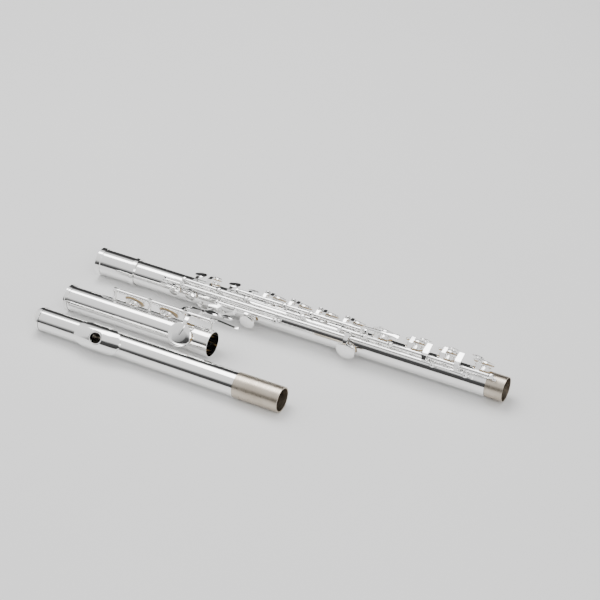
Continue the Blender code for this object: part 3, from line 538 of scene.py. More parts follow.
def embouchure_cutter(grow):
    frame = axis_frame((EMBOUCHURE_X, 0, 0), EMBOUCHURE_OUT)
    radius = EMBOUCHURE_LONG + grow
    flat = (EMBOUCHURE_SHORT + grow) / radius
    return turned([(0, 5), (radius, 5), (radius, 25), (0, 25)], 20, frame, stretch=(1.0, flat))


def head_tube(parent):
    stations = 5
    outside = []
    inside = []
    for i in range(stations + 1):
        x = TUBE_START + (TUBE_END - TUBE_START) * i / stations
        outside.append((head_radius(x), x))
        inside.append((head_radius(x) - WALL, x))
    tube = turned(outside + inside[::-1], TUBE_SIDES, ALONG_X, closed=True)
    cut(tube, [embouchure_cutter(0.0)])
    return finish(tube, "head_tube", SILVER, parent)


def lip_plate(parent):
    """A saddle hugging the tube: rounded ends, thick round the hole and thin at its edges."""
    rows = 12
    columns = 10
    verts = []
    for top in (True, False):
        for i in range(rows + 1):
            u = math.sin(math.pi * (i / rows - 0.5)) * 0.995
            x = EMBOUCHURE_X + u * LIP_LENGTH / 2
            base = head_radius(x) + LIP_GAP
            half = LIP_HALF_ANGLE * max(1 - abs(u) ** 2.6, 0.02) ** 0.5
            for k in range(columns + 1):
                v = 2 * k / columns - 1
                rise = (1 - u * u) * (1 - (v * half / LIP_HALF_ANGLE) ** 2)
                radius = base + (LIP_EDGE + (RISER_HEIGHT - LIP_EDGE) * rise if top else 0.0)
                verts.append(polar(x, radius, EMBOUCHURE_ROLL + v * half))
    row = columns + 1
    layer = (rows + 1) * row
    faces = []
    for i in range(rows):
        for k in range(columns):
            a = i * row + k
            faces.append((a, a + 1, a + row + 1, a + row))
            faces.append((layer + a, layer + a + row, layer + a + row + 1, layer + a + 1))
    for i in range(rows):
        for k in (0, columns):
            a = i * row + k
            faces.append((a, a + row, layer + a + row, layer + a))
    for i in (0, rows):
        for k in range(columns):
            a = i * row + k
            faces.append((a, a + 1, layer + a + 1, layer + a))
    plate = mesh_object(verts, faces)
    cut(plate, [embouchure_cutter(RISER_WALL + SEAT_GAP)])
    return finish(plate, "lip_plate", SILVER, parent)


def embouchure_riser(parent):
    frame = axis_frame((EMBOUCHURE_X, 0, 0), EMBOUCHURE_OUT)
    outer = EMBOUCHURE_LONG + RISER_WALL
    flat = (EMBOUCHURE_SHORT + RISER_WALL) / outer
    top = HEAD_SHORT_R + RISER_HEIGHT - 0.2
    riser = turned([(0, 8), (outer, 8), (outer, top), (0, top)], 20, frame, stretch=(1.0, flat))
    inside = turned([(0, 0), (HEAD_SHORT_R + SEAT_GAP, 0), (HEAD_SHORT_R + SEAT_GAP, 2 * EMBOUCHURE_X),
                     (0, 2 * EMBOUCHURE_X)], 2 * TUBE_SIDES, ALONG_X)
    cut(riser, [embouchure_cutter(0.0), inside])
    return finish(riser, "embouchure_riser", SILVER, parent)


def crown(parent):
    ring = CROWN_END_R + CROWN_RING_RISE
    shoulder = CROWN_DOME + CROWN_RING_WIDTH
    spigot = head_radius(TUBE_START) - WALL - SEAT_GAP
    bore = STOPPER_ROD_R + RUN_GAP
    profile = [(0, 0)]
    for k in range(1, 6):
        a = math.pi / 2 * k / 6
        profile.append((ring * 0.96 * math.sin(a), CROWN_DOME * (1 - math.cos(a)) * 0.9))
    profile += [(ring, CROWN_DOME), (ring, shoulder), (spigot, shoulder), (spigot, shoulder + CROWN_SPIGOT),
                (bore, shoulder + CROWN_SPIGOT), (bore, shoulder - 1.5), (0, shoulder - 1.5)]
    return finish(turned(profile, TUBE_SIDES, ALONG_X), "crown", SILVER, parent)


def stopper(parent):
    """The cork with the plate, rod and washer that hold it."""
    plate_back = STOPPER_FACE - PLATE_THICKNESS
    cork_end = plate_back - SEAT_GAP
    cork_start = cork_end - CORK_LENGTH
    washer_end = cork_start - SEAT_GAP
    radius = head_radius(cork_start) - WALL - SEAT_GAP
    bore = STOPPER_ROD_R + RUN_GAP
    screw = turned([(0, STOPPER_FACE), (radius, STOPPER_FACE), (radius, plate_back), (STOPPER_ROD_R, plate_back),
                    (STOPPER_ROD_R, TUBE_START), (0, TUBE_START)], TUBE_SIDES, ALONG_X)
    finish(screw, "stopper_screw", NICKEL, parent)
    cork = sleeve(cork_start, cork_end, radius, bore)
    finish(cork, "cork_stopper", CORK, parent)
    washer = sleeve(washer_end - PLATE_THICKNESS, washer_end, radius - 1.0, bore)
    finish(washer, "stopper_washer", NICKEL, parent)


def build_head():
    parent = section("crown")
    head_tube(parent)
    lip_plate(parent)
    embouchure_riser(parent)
    crown(parent)
    stopper(parent)
    sleeve_solid = tenon(TUBE_END, HEAD_LENGTH, head_radius(TUBE_END) - WALL, TUBE_R)
    finish(sleeve_solid, "head_tenon", NICKEL, parent)
    return parent


# Body joint: where its keys sit, from the barrel's open end

TRILL_DSHARP_X = 102.0
TRILL_D_X = 122.0
LEFT_ONE_X = 122.0
CSHARP_X = 138.0
LEFT_TWO_X = 163.0
LEFT_THREE_X = 185.0
THUMB_PLATE_X = 143.0
THUMB_OVAL_X = 163.0
THUMB_X = 192.0
BFLAT_X = 211.0
A_X = 241.5
G_X = 273.0
G_LOW_X = 304.5
GSHARP_X = 307.0
FSHARP_X = 336.0
F_X = 373.0
E_X = 409.0
D_X = 448.0
RIGHT_ONE_X = 382.0
RIGHT_TWO_X = 413.0
RIGHT_THREE_X = 439.5
TRILL_TOUCH_D_X = 393.0
TRILL_TOUCH_DSHARP_X = 428.0

TRILL_ROLL = -74.0
THUMB_ROLL = -102.0
GSHARP_ROLL = -95.0
TRILL_HOLE_R = 4.0
TRILL_CUP_R = 6.0
CSHARP_HOLE_R = 4.3
CSHARP_CUP_R = 6.75
THUMB_HOLE_R = 6.3
THUMB_CUP_R = 8.8
GSHARP_HOLE_R = 8.0
GSHARP_CUP_R = 10.6
SMALL_RIM_R = 14.8
FINGER_R = 6.6

UPPER_POSTS = (172.0, 229.0, 260.0, 323.0)
MAIN_POSTS = (110.5, 153.0, 186.0, 253.0, 296.0, 325.0, 354.0, 391.0, 428.0, 464.0)
TRILL_POSTS = (88.0, 111.0, 402.0, 438.0)
THUMB_POSTS = (155.0, 225.0)
BALL_HALF = BALL_R * 0.8
BODY_BORE_R = TUBE_R - WALL


def between(posts, i, j=None):
    """The stretch of rod between two posts, with end play at each side."""
    j = i + 1 if j is None else j
    return posts[i] + BALL_HALF + END_PLAY, posts[j] - BALL_HALF - END_PLAY


def body_holes():
    holes = [(x, CUP_LINE, HOLE_R, RIM_R) for x in (BFLAT_X, A_X, G_X, G_LOW_X, FSHARP_X, F_X, E_X, D_X)]
    holes.append((CSHARP_X, CUP_LINE, CSHARP_HOLE_R, SMALL_RIM_R))
    under = [(x, TRILL_ROLL, TRILL_HOLE_R, SMALL_RIM_R) for x in (TRILL_DSHARP_X, TRILL_D_X)]
    under.append((THUMB_X, THUMB_ROLL, THUMB_HOLE_R, RIM_R))
    under.append((GSHARP_X, GSHARP_ROLL, GSHARP_HOLE_R, RIM_R))
    return holes, under


def body_tube(parent):
    """The tube with its drawn tone holes and the posts that stand on it singly."""
    start = BARREL_LENGTH - BARREL_OVERLAP
    end = BODY_LENGTH - FOOT_TENON_LENGTH
    bead = TUBE_R + BEAD_RISE
    profile = [(0, start), (TUBE_R, start), (TUBE_R, BEAD_X), (bead, BEAD_X), (bead, BEAD_X + BEAD_WIDTH),
               (TUBE_R, BEAD_X + BEAD_WIDTH), (TUBE_R, end), (0, end)]
    tube = turned(profile, TUBE_SIDES, ALONG_X)
    upper, under = body_holes()
    union(tube, [chimney(*hole) for hole in upper])
    union(tube, [chimney(*hole) for hole in under])
    posts = []
    for line, places in ((TRILL, TRILL_POSTS), (THUMB, THUMB_POSTS)):
        for x in places:
            posts.append(post(line, x, TUBE_R - POST_FOOT_SINK, POST_FOOT_SINK + POST_FOOT_RISE))
    union(tube, posts)
    cut(tube, [turned([(0, start - 1), (BODY_BORE_R, start - 1), (BODY_BORE_R, end + 1), (0, end + 1)],
                      TUBE_SIDES, ALONG_X)])
    cut(tube, [hole_cutter(*hole) for hole in upper + under])
    cut(tube, [rod_cutter(TRILL, TRILL_POSTS[0] - 5, TRILL_POSTS[-1] + 5),
               rod_cutter(THUMB, THUMB_POSTS[0] - 5, THUMB_POSTS[-1] + 5)])
    return finish(tube, "body_tube", SILVER, parent)


BARREL_INNER_R = TUBE_R + SLIDE_GAP + SEAT_GAP / 2
BARREL_RING_R = BARREL_INNER_R + BARREL_WALL + BARREL_RING_RISE


def barrel(parent):
    inner = BARREL_INNER_R
    outer = inner + BARREL_WALL
    ring = BARREL_RING_R
    neck = BARREL_LENGTH - BARREL_RING_WIDTH * 0.8
    profile = [(ring, 0), (ring, BARREL_RING_WIDTH), (outer, BARREL_RING_WIDTH + 0.5), (outer, neck - 0.5),
               (ring, neck), (ring, BARREL_LENGTH), (inner, BARREL_LENGTH), (inner, 0)]
    return finish(turned(profile, TUBE_SIDES, ALONG_X, closed=True), "barrel", SILVER, parent)


def plain_rod(name, line, x0, x1, parent):
    rod = cylinder(line.at(x0), line.at(x1), ROD_R)
    return finish(rod, name, STEEL, parent)


def stem_plate(key, x, roll, rim):
    """A raised finger plate on a short stem from the cup's top."""
    out = polar(0, 1, roll)
    level = rim + CUP_TOP
    lift = 1.4
    start = Vector((x, 0, 0)) + out * (level - 0.8)
    key.parts.append(cylinder(start, start + out * (lift + 1.5), 2.0))
    key.plate(Vector((x, 0, 0)) + out * (level + lift), out, FINGER_R)


def side_plate(key, x, y, z, facing_roll):
    """A finger plate beside the stack, on an arm from the hinge tube."""
    centre = Vector((x, y, z))
    facing = polar(0, 1, facing_roll)
    hinge = key.line.at(x)
    middle = (hinge + centre) / 2 + facing * 1.6
    key.arm_path([hinge, middle, centre + facing * 0.4], [4.2, 3.6, 3.0], [2.0, 1.6, 1.2])
    key.plate(centre, facing, FINGER_R)


def lug(key, x, roll, rim):
    """The adjusting lug beside a cup, on its own short arm."""
    out = polar(0, 1, roll)
    across = key.side * polar(0, 1, roll - 90)
    hinge = key.line.at(x)
    end = Vector((x, 0, 0)) + across * 9.0 + out * (rim + CUP_TOP)
    key.arm_path([hinge, (hinge + end) / 2 + out * 1.5 + across * 1.2, end], [3.4, 3.2, 3.0], [1.8, 1.5, 1.2])
    key.plate(end - out * 0.3, out, 3.1, thickness=1.6, sides=SMALL_SIDES)


def trill_keys(parent):
    """Two long trill keys on one line: the second's rod turns inside the first's tube."""
    posts = TRILL_POSTS
    first = between(posts, 0)
    touch_to = posts[3] - BALL_HALF - END_PLAY
    high = Key("trill_dsharp_key", TRILL, -1, [first, (TRILL_TOUCH_DSHARP_X - 6, touch_to)], pinned=True)
    high.rod(posts[0] - 2, posts[3] + 2)
    high.cup(TRILL_DSHARP_X, TRILL_ROLL, TRILL_CUP_R, SMALL_RIM_R)
    low = Key("trill_d_key", TRILL, -1, [between(posts, 1, 2)])
    low.cup(TRILL_D_X, TRILL_ROLL, TRILL_CUP_R, SMALL_RIM_R)
    for key, x, rise in ((high, TRILL_TOUCH_DSHARP_X, 1.2), (low, TRILL_TOUCH_D_X, 0.0)):
        hinge = TRILL.at(x)
        route = [hinge, (x, -14.2, 17.8), (x, -12.6, 21.4 + rise), (x, -8.0, 23.8 + rise), (x, 2.0, 25.6 + rise)]
        key.arm_path(route, [4.4, 4.2, 5.0, 6.4, 5.4], [2.0, 1.8, 1.6, 1.5, 1.3])
    return [(high, 0.0), (low, 0.0)]


def left_hand_keys():
    csharp = Key("c_key", MAIN, 1, [between(MAIN_POSTS, 0)])
    csharp.cup(CSHARP_X, CUP_LINE, CSHARP_CUP_R, SMALL_RIM_R)
    side_plate(csharp, LEFT_ONE_X, 7.7, 14.8, 20.0)

    touch = Key("a_touch", MAIN, 1, [between(MAIN_POSTS, 1), (A_X - 7, between(MAIN_POSTS, 2)[1])], pinned=True)
    touch.rod(MAIN_POSTS[1] - 0.6, MAIN_POSTS[3] + 2)
    side_plate(touch, LEFT_TWO_X, 8.6, 15.0, 20.0)
    touch.arm_path([MAIN.at(A_X), polar(A_X, 22.4, -18.5)], [4.0, 3.0], [2.0, 1.4])

    bflat = Key("bflat_key", UPPER, 1, [(LEFT_THREE_X + 7, between(UPPER_POSTS, 0)[1])])
    bflat.cup(BFLAT_X, CUP_LINE, CUP_R, RIM_R)
    lug(bflat, BFLAT_X - 8, CUP_LINE, RIM_R)

    a_key = Key("a_key", UPPER, 1, [between(UPPER_POSTS, 1)])
    a_key.cup(A_X, CUP_LINE, CUP_R, RIM_R)
    lug(a_key, A_X - 8, CUP_LINE, RIM_R)

    g_key = Key("g_key", UPPER, 1, [(between(UPPER_POSTS, 0)[0], LEFT_THREE_X + 6), between(UPPER_POSTS, 2)],
                pinned=True)
    g_key.rod(UPPER_POSTS[0] - 2, UPPER_POSTS[-1] + 2)
    side_plate(g_key, LEFT_THREE_X, 10.6, 12.6, 43.0)
    for x in (G_X, G_LOW_X):
        lug(g_key, x - 7.5, CUP_LINE, RIM_R)
    for x in (G_X, G_LOW_X):
        g_key.cup(x, CUP_LINE, CUP_R, RIM_R)
    return [(key, OPEN_ANGLE) for key in (csharp, touch, bflat, a_key, g_key)]


def gsharp_key():
    """Hinged on the main line: its arm passes over the trill tube and its bar lies under the little finger."""
    key = Key("gsharp_key", MAIN, -1, [between(MAIN_POSTS, 4)])
    x = GSHARP_X
    key.cup_only(x, GSHARP_ROLL, GSHARP_CUP_R, RIM_R)
    top = RIM_R + CUP_TOP
    out = polar(0, 1, GSHARP_ROLL)
    across = -polar(0, 1, GSHARP_ROLL - 90)
    route = [MAIN.at(x), polar(x, 21.6, -34), polar(x, 22.3, -45), polar(x, 22.2, -57),
             Vector((x, 0, 0)) + across * (GSHARP_CUP_R + 0.5) + out * top,
             Vector((x, 0, 0)) + across * 5.0 + out * (top + 0.3), Vector((x, 0, 0)) + out * (top + 0.1)]
    key.arm_path(route, [5.0, 4.8, 4.6, 4.4, 4.0, 2.6, 0.9], [2.2, 1.8, 1.7, 1.7, 1.7, 1.5, 1.0])
    bar_x = MAIN_POSTS[5] - 5.5
    bar = [MAIN.at(bar_x), (bar_x, -6.8, 22.0), (bar_x + 0.6, -6.4, 25.6), (bar_x + 3.5, -6.0, 27.3),
           (bar_x + 12, -5.6, 27.5), (F_X - 22, -5.0, 27.5), (F_X - 12, -4.6, 27.3)]
    key.arm_path(bar, [2.6] * 5 + [3.4, 5.6], [2.6] * 5 + [2.0, 1.4], sides=6)
    return [(key, 0.0)]


def right_hand_keys():
    keys = []
    spec = (("fsharp_key", FSHARP_X, None), ("f_key", F_X, RIGHT_ONE_X), ("e_key", E_X, RIGHT_TWO_X),
            ("d_key", D_X, RIGHT_THREE_X))
    for i, (name, x, plate_x) in enumerate(spec):
        key = Key(name, MAIN, 1, [between(MAIN_POSTS, 5 + i)])
        key.cup(x, CUP_LINE, CUP_R, RIM_R)
        if plate_x is not None:
            stem_plate(key, plate_x, CUP_LINE, RIM_R)
        keys.append((key, OPEN_ANGLE))
    return keys


def thumb_keys():
    """The thumb key and, beside it on the same rod, the thumb's second lever."""
    span = between(THUMB_POSTS, 0)
    split = THUMB_OVAL_X + 14
    lever = Key("thumb_bflat_key", THUMB, -1, [(span[0], split - END_PLAY)])
    x = THUMB_PLATE_X
    lever.arm_path([THUMB.at(span[0] + 3), polar(span[0], 21.6, -74), polar(x + 5, 22.0, -80)],
                   [4.0, 3.8, 3.6], [2.0, 1.7, 1.5])
    lever.plate(polar(x, 20.6, -82), polar(0, 1, -84), 5.0, stretch=(1.9, 1.0))
    thumb = Key("thumb_key", THUMB, -1, [(split + END_PLAY, span[1])])
    thumb.cup(THUMB_X, THUMB_ROLL, THUMB_CUP_R, RIM_R)
    thumb.arm_path([THUMB.at(split + 3), polar(split + 1, 21.8, -78), polar(THUMB_OVAL_X + 5, 22.0, -90)],
                   [4.0, 3.8, 3.6], [2.0, 1.7, 1.5])
    thumb.plate(polar(THUMB_OVAL_X, 20.6, -93), polar(0, 1, -93), 5.4, stretch=(1.7, 1.0))
    return [(lever, -OPEN_ANGLE), (thumb, -OPEN_ANGLE)]


def build_body():
    parent = section("barrel")
    barrel(parent)
    body_tube(parent)
    tenon_solid = tenon(BODY_LENGTH - FOOT_TENON_LENGTH, BODY_LENGTH, BODY_BORE_R, FOOT_TENON_R)
    finish(tenon_solid, "foot_tenon", NICKEL, parent)
    rib = rib_with_posts(UPPER, UPPER_POSTS[0] - 6, UPPER_POSTS[-1] + 6, UPPER_POSTS,
                         UPPER_POSTS[0] - 6, UPPER_POSTS[-1] + 6)
    finish(rib, "upper_rib", SILVER, parent)
    rib = rib_with_posts(MAIN, MAIN_POSTS[0] - 6, MAIN_POSTS[-1] + 5, MAIN_POSTS,
                         MAIN_POSTS[0] - 6, MAIN_POSTS[-1] + 6, tail=8.0)
    over_bead = TUBE_R + BEAD_RISE + SEAT_GAP / 2
    cut(rib, [sleeve(BEAD_X - SEAT_GAP, BEAD_X + BEAD_WIDTH + SEAT_GAP, over_bead, TUBE_R - 1)])
    finish(rib, "main_rib", SILVER, parent)
    plain_rod("c_rod", MAIN, MAIN_POSTS[0] - 2, MAIN_POSTS[1] - 1.2, parent)
    plain_rod("main_rod", MAIN, MAIN_POSTS[4] - 2, MAIN_POSTS[-1] + 2, parent)
    plain_rod("thumb_rod", THUMB, THUMB_POSTS[0] - 2, THUMB_POSTS[-1] + 2, parent)
    keys = trill_keys(parent) + left_hand_keys() + gsharp_key() + right_hand_keys() + thumb_keys()
    for key, turn in keys:
        key.build(parent, turn)
    return parent


# Foot joint

FOOT_C_X = 72.0
FOOT_CSHARP_X = 114.0
FOOT_EB_X = 145.0
FOOT_CUP_LINE = 67.0
EB_ROLL = -52.0
EB_HOLE_R = 7.5
EB_CUP_R = 13.2
FOOT_POSTS = (55.0, 98.0, 141.0, 173.0)
SOCKET_OUTER_R = TUBE_R + SEAT_GAP + SOCKET_WALL
SOCKET_RING_R = SOCKET_OUTER_R + SOCKET_RING_RISE


def foot_tube(parent):
    end = FOOT_LENGTH - FOOT_TENON_LENGTH - END_PLAY
    tube = turned([(0, END_RING_WIDTH * 0.4), (TUBE_R, END_RING_WIDTH * 0.4), (TUBE_R, end), (0, end)],
                  TUBE_SIDES, ALONG_X)
    upper = [(x, FOOT_CUP_LINE, HOLE_R, RIM_R) for x in (FOOT_C_X, FOOT_CSHARP_X)]
    under = [(FOOT_EB_X, EB_ROLL, EB_HOLE_R, RIM_R)]
    union(tube, [chimney(*hole) for hole in upper + under])
    bore = TUBE_R - WALL
    cut(tube, [turned([(0, -1), (bore, -1), (bore, end + 1), (0, end + 1)], TUBE_SIDES, ALONG_X)])
    cut(tube, [hole_cutter(*hole) for hole in upper + under])
    return finish(tube, "foot_tube", SILVER, parent)


def foot_ring(parent):
    inner = TUBE_R + SEAT_GAP
    ring = TUBE_R + END_RING_RISE + SEAT_GAP
    lip = TUBE_R - WALL
    back = END_RING_WIDTH * 0.4 - SEAT_GAP
    profile = [(ring - 0.4, 0), (ring, 0.5), (ring, 2.0), (ring - 0.5, 2.5), (ring - 0.5, END_RING_WIDTH),
               (inner, END_RING_WIDTH), (inner, back), (lip, back), (lip, 0)]
    return finish(turned(profile, TUBE_SIDES, ALONG_X, closed=True), "foot_ring", SILVER, parent)


def foot_socket(parent):
    """The socket that takes the body's foot tenon, with the rod's last post on it."""
    over = TUBE_R + SEAT_GAP
    bore = FOOT_TENON_R + SLIDE_GAP
    outer = SOCKET_OUTER_R
    ring = SOCKET_RING_R
    start = FOOT_LENGTH - FOOT_TENON_LENGTH
    profile = [(outer, start - SOCKET_OVERLAP), (outer, FOOT_LENGTH - 2.4), (ring, FOOT_LENGTH - 2.0),
               (ring, FOOT_LENGTH), (bore, FOOT_LENGTH), (bore, start), (over, start),
               (over, start - SOCKET_OVERLAP)]
    socket = turned(profile, TUBE_SIDES, ALONG_X, closed=True)
    x = FOOT_POSTS[-1]
    sunk = outer - SOCKET_WALL / 2
    union(socket, [post(FOOT_HIGH, x, sunk, SOCKET_WALL / 2 + POST_FOOT_RISE)])
    cut(socket, [rod_cutter(FOOT_HIGH, x - 6, x + 6)])
    return finish(socket, "foot_socket", SILVER, parent)


def foot_keys():
    """Three keys on one line: the C key's rod runs inside the other two keys' tubes."""
    posts = FOOT_POSTS
    touch_end = between(posts, 2)[1]
    touch_start = touch_end - 5.0
    c_key = Key("foot_c_key", FOOT_HIGH, 1, [between(posts, 0), (touch_start, touch_end)], pinned=True)
    c_key.rod(posts[0] - 2, posts[-1] + 2)
    c_key.cup(FOOT_C_X, FOOT_CUP_LINE, CUP_R, RIM_R)
    x = (touch_start + touch_end) / 2
    c_key.arm_path([FOOT_HIGH.at(x), (x + 1, 11.8, 22.2), (x + 11, 13.2, 20.8), (x + 22, 12.4, 20.4),
                    (x + 30, 11.6, 20.4)], [4.0, 3.4, 3.0, 2.6, 2.4], [2.2, 2.0, 1.8, 1.6, 1.5], sides=6)
    c_key.plate((x + 31, 11.5, 19.6), (0, 0, 1), 2.6, thickness=1.8, sides=SMALL_SIDES)

    csharp = Key("foot_csharp_key", FOOT_HIGH, 1, [between(posts, 1)])
    csharp.cup(FOOT_CSHARP_X, FOOT_CUP_LINE, CUP_R, RIM_R)
    x = between(posts, 1)[1] - 3
    csharp.arm_path([FOOT_HIGH.at(x), (x + 1, 13.0, 23.6), (x + 8, 18.2, 22.6), (x + 24, 20.6, 21.6),
                     (x + 40, 20.8, 21.2)], [4.0, 3.6, 3.2, 3.2, 3.2], [2.2, 1.8, 1.6, 1.5, 1.4])
    csharp.plate((x + 47, 20.8, 20.4), (0, 0.1, 1), 3.4, stretch=(2.2, 1.0))

    eb_key = Key("foot_eb_key", FOOT_HIGH, -1, [(between(posts, 2)[0], touch_start - END_PLAY)])
    eb_key.cup_only(FOOT_EB_X, EB_ROLL, EB_CUP_R, RIM_R)
    x = FOOT_EB_X + 3
    eb_key.arm_path([FOOT_HIGH.at(x), polar(x, 25.6, 2), polar(x, 24.2, -14), polar(x - 1.5, 20.9, -33),
                     polar(FOOT_EB_X, RIM_R + CUP_TOP + 0.1, EB_ROLL)],
                    [4.4, 4.2, 3.8, 2.8, 1.2], [2.2, 2.0, 1.8, 1.5, 1.0])
    x = touch_start - 7
    eb_key.arm_path([FOOT_HIGH.at(x), (x, 8.6, 27.0), (x + 1, 10.6, 28.7), (x + 4, 12.6, 28.9)],
                    [4.2, 4.2, 4.6, 5.0], [2.0, 1.8, 1.6, 1.4])
    eb_key.plate((x + 10, 13.2, 28.2), (0, 0.05, 1), 4.2, stretch=(2.1, 1.0))
    return [(c_key, OPEN_ANGLE), (csharp, OPEN_ANGLE), (eb_key, 0.0)]


def build_foot():
    parent = section("foot_ring")
    foot_socket(parent)
    foot_tube(parent)
    foot_ring(parent)
    posts = FOOT_POSTS
    rib = rib_with_posts(FOOT_HIGH, posts[0] - 4, FOOT_LENGTH - FOOT_TENON_LENGTH - SOCKET_OVERLAP - 1, posts[:3],
                         posts[0] - 6, posts[2] + 6, tail=11.0)
    finish(rib, "foot_rib", SILVER, parent)
    for key, turn in foot_keys():
        key.build(parent, turn)
    return parent


# Materials

def node(tree, kind, **values):
    made = tree.nodes.new(kind)
    for name, value in values.items():
        setattr(made, name, value)
    return made


def noise(tree, vector, scale, detail=4.0, roughness=0.55):
    made = node(tree, 'ShaderNodeTexNoise')
    made.inputs["Scale"].default_value = scale
    made.inputs["Detail"].default_value = detail
    made.inputs["Roughness"].default_value = roughness
    tree.links.new(vector, made.inputs["Vector"])
    return made.outputs["Fac"]


def ramp(tree, factor, low, high, low_value, high_value):
    """Map a factor between two stops to two values."""
    made = node(tree, 'ShaderNodeMapRange')
    for socket, value in (("From Min", low), ("From Max", high), ("To Min", low_value), ("To Max", high_value)):
        made.inputs[socket].default_value = value
    tree.links.new(factor, made.inputs["Value"])
    return made.outputs["Result"]


def mixed(tree, factor, low_colour, high_colour):
    made = node(tree, 'ShaderNodeMix', data_type='RGBA')
    tree.links.new(factor, made.inputs[0])
    made.inputs[6].default_value = (*low_colour, 1.0)
    made.inputs[7].default_value = (*high_colour, 1.0)
    return made.outputs[2]


def stretched(tree, x, y, z):
    """Object coordinates with each axis scaled by itself."""
    coordinates = node(tree, 'ShaderNodeTexCoord')
    mapping = node(tree, 'ShaderNodeMapping')
    mapping.inputs["Scale"].default_value = (x, y, z)
    tree.links.new(coordinates.outputs["Object"], mapping.inputs["Vector"])
    return mapping.outputs["Vector"]


def bumped(tree, height, strength, distance, shader):
    made = node(tree, 'ShaderNodeBump')
    made.inputs["Strength"].default_value = strength
    made.inputs["Distance"].default_value = distance
    tree.links.new(height, made.inputs["Height"])
    tree.links.new(made.outputs["Normal"], shader.inputs["Normal"])


def new_material(name, metallic):
    made = bpy.data.materials.new(name)
    made.use_nodes = True
    shader = made.node_tree.nodes["Principled BSDF"]
    shader.inputs["Metallic"].default_value = metallic
    return made, made.node_tree, shader


def silver_plate():
    """Polished silver: faint clouding, fine polishing lines along the tube and tiny scratches."""
    made, tree, shader = new_material("silver_plate_look", 1.0)
    cloud = noise(tree, stretched(tree, 30, 60, 60), 1.0)
    tree.links.new(mixed(tree, cloud, (0.93, 0.925, 0.91), (0.97, 0.97, 0.965)), shader.inputs["Base Color"])
    lines = noise(tree, stretched(tree, 60, 2600, 2600), 1.0, detail=6.0)
    tree.links.new(ramp(tree, lines, 0.35, 0.75, 0.045, 0.13), shader.inputs["Roughness"])
    bumped(tree, lines, 0.05, 0.00004, shader)
    return made


def nickel_silver():
    """Bare nickel silver: warm grey, with rubbed lines round and along the sleeve."""
    made, tree, shader = new_material("nickel_silver_look", 1.0)
    cloud = noise(tree, stretched(tree, 45, 90, 90), 1.0, detail=6.0)
    tree.links.new(mixed(tree, cloud, (0.40, 0.34, 0.27), (0.66, 0.60, 0.51)), shader.inputs["Base Color"])
    rubbed = noise(tree, stretched(tree, 1500, 70, 70), 1.0, detail=8.0)
    tree.links.new(ramp(tree, rubbed, 0.3, 0.8, 0.24, 0.44), shader.inputs["Roughness"])
    bumped(tree, rubbed, 0.12, 0.00008, shader)
    return made


def steel_rod():
    """Bright steel with drawing lines along it."""
    made, tree, shader = new_material("steel_rod_look", 1.0)
    lines = noise(tree, stretched(tree, 40, 3000, 3000), 1.0, detail=5.0)
    tree.links.new(mixed(tree, lines, (0.50, 0.51, 0.53), (0.68, 0.69, 0.71)), shader.inputs["Base Color"])
    tree.links.new(ramp(tree, lines, 0.3, 0.8, 0.16, 0.32), shader.inputs["Roughness"])
    bumped(tree, lines, 0.08, 0.00003, shader)
    return made


def pad_skin():
    """Yellow-brown fish skin over felt, finely wrinkled and a little darker in places."""
    made, tree, shader = new_material("pad_skin_look", 0.0)
    stain = noise(tree, stretched(tree, 110, 110, 110), 1.0, detail=5.0)
    tree.links.new(mixed(tree, stain, (0.42, 0.25, 0.08), (0.80, 0.58, 0.28)), shader.inputs["Base Color"])
    wrinkle = noise(tree, stretched(tree, 900, 900, 900), 1.0, detail=7.0, roughness=0.7)
    tree.links.new(ramp(tree, wrinkle, 0.3, 0.8, 0.35, 0.6), shader.inputs["Roughness"])
    bumped(tree, wrinkle, 0.35, 0.0002, shader)
    shader.inputs["Sheen Weight"].default_value = 0.2
    return made


def cork_skin():
    """Cork: pale brown with darker flecks."""
    made, tree, shader = new_material("cork_look", 0.0)
    cells = node(tree, 'ShaderNodeTexVoronoi')
    cells.inputs["Scale"].default_value = 1.0
    tree.links.new(stretched(tree, 700, 900, 900), cells.inputs["Vector"])
    tree.links.new(mixed(tree, cells.outputs["Distance"], (0.62, 0.43, 0.25), (0.30, 0.17, 0.08)),
                   shader.inputs["Base Color"])
    shader.inputs["Roughness"].default_value = 0.85
    bumped(tree, cells.outputs["Distance"], 0.4, 0.0003, shader)
    return made


def floor_paint():
    made, tree, shader = new_material("floor_look", 0.0)
    cloud = noise(tree, stretched(tree, 6, 6, 6), 1.0)
    tree.links.new(mixed(tree, cloud, (0.80, 0.80, 0.80), (0.84, 0.84, 0.835)), shader.inputs["Base Color"])
    shader.inputs["Roughness"].default_value = 0.7
    return made


MATERIALS = {SILVER: silver_plate(), NICKEL: nickel_silver(), STEEL: steel_rod(), PAD: pad_skin(),
             CORK: cork_skin()}
BODY_OF = {name: body for body, names in frame["record"]["behaviour"]["bodies"].items() for name in names}


# Studio: floor, light and camera

FLOOR_HALF = 4.0
AZIMUTH = 27.35
ELEVATION = 37.26
DISTANCE = 1.882
AIM_FROM_BARREL = (0.21718, 0.05484)
SENSOR = 36.0
FOCAL_PIXELS = 1735.0
PICTURE_WIDTH = 600.0


def stage_floor():
    verts = [(-FLOOR_HALF, -FLOOR_HALF, 0), (FLOOR_HALF, -FLOOR_HALF, 0), (FLOOR_HALF, FLOOR_HALF, 0),
             (-FLOOR_HALF, FLOOR_HALF, 0)]
    floor = mesh_object([Vector(v) for v in verts], [(0, 1, 2, 3)])
    floor.name = "floor"
    floor.data.materials.append(floor_paint())


def softbox(name, place, aim, width, height, power):
    light = bpy.data.lights.new(name, 'AREA')
    light.shape = 'RECTANGLE'
    light.size = width
    light.size_y = height
    light.energy = power
    lamp = bpy.data.objects.new(name, light)
    bpy.context.collection.objects.link(lamp)
    lamp.location = place
    lamp.rotation_euler = (Vector(aim) - Vector(place)).to_track_quat('-Z', 'Y').to_euler()


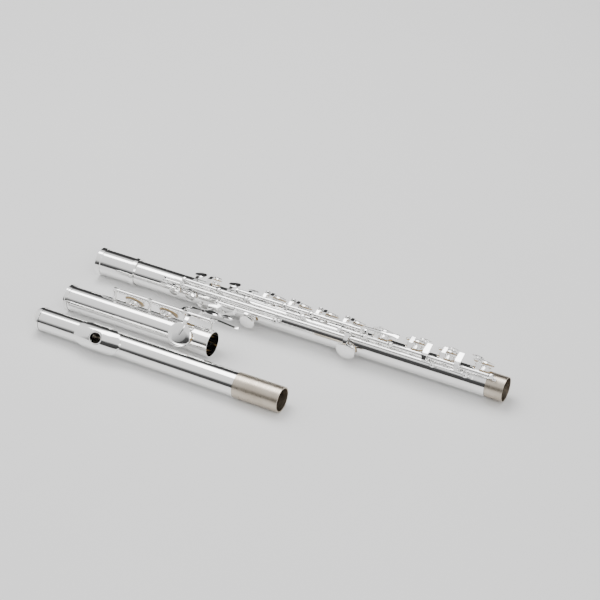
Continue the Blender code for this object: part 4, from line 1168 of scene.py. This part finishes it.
SKY_SHADES = ((0.0, 0.04), (0.08, 0.07), (0.14, 0.95), (0.55, 1.15), (0.76, 1.0), (0.83, 0.06), (1.0, 0.03))


def sky():
    """A pale dome with a dark foot on the near side and a dark far side, so that polished metal has something to
    show."""
    world = bpy.data.worlds.new("studio")
    bpy.context.scene.world = world
    world.use_nodes = True
    tree = world.node_tree
    background = tree.nodes["Background"]
    coordinates = node(tree, 'ShaderNodeTexCoord')
    split = node(tree, 'ShaderNodeSeparateXYZ')
    tree.links.new(coordinates.outputs["Generated"], split.inputs["Vector"])
    shades = node(tree, 'ShaderNodeValToRGB')
    stops = shades.color_ramp.elements
    stops[1].position = 1.0
    for position, grey in SKY_SHADES:
        stop = stops[0] if position == 0.0 else stops[len(stops) - 1] if position == 1.0 else stops.new(position)
        stop.color = (grey, grey, grey, 1)
    tree.links.new(ramp(tree, split.outputs["Y"], -1.0, 1.0, 0.0, 1.0), shades.inputs["Fac"])
    tree.links.new(shades.outputs["Color"], background.inputs["Color"])
    background.inputs["Strength"].default_value = 1.2


def camera(parent):
    a = math.radians(AZIMUTH)
    e = math.radians(ELEVATION)
    back = Vector((math.sin(a) * math.cos(e), -math.cos(a) * math.cos(e), math.sin(e)))
    aim = Vector((parent.x * MM + AIM_FROM_BARREL[0], parent.y * MM + AIM_FROM_BARREL[1], 0))
    lens = bpy.data.cameras.new("camera")
    lens.sensor_width = SENSOR
    lens.lens = SENSOR * FOCAL_PIXELS / PICTURE_WIDTH
    lens.clip_start = 0.05
    eye = bpy.data.objects.new("camera", lens)
    bpy.context.collection.objects.link(eye)
    eye.location = aim + back * DISTANCE
    eye.rotation_euler = back.to_track_quat('Z', 'Y').to_euler()
    bpy.context.scene.camera = eye


def main():
    stage_floor()
    sky()
    softbox("key_light", (-0.5, 0.5, 1.5), (0, 0, 0), 1.2, 0.8, 20.0)
    softbox("fill_light", (0.9, -1.0, 1.2), (0, 0, 0), 0.8, 0.8, 8.0)
    build_head()
    build_body()
    build_foot()
    camera(section("barrel"))


main()
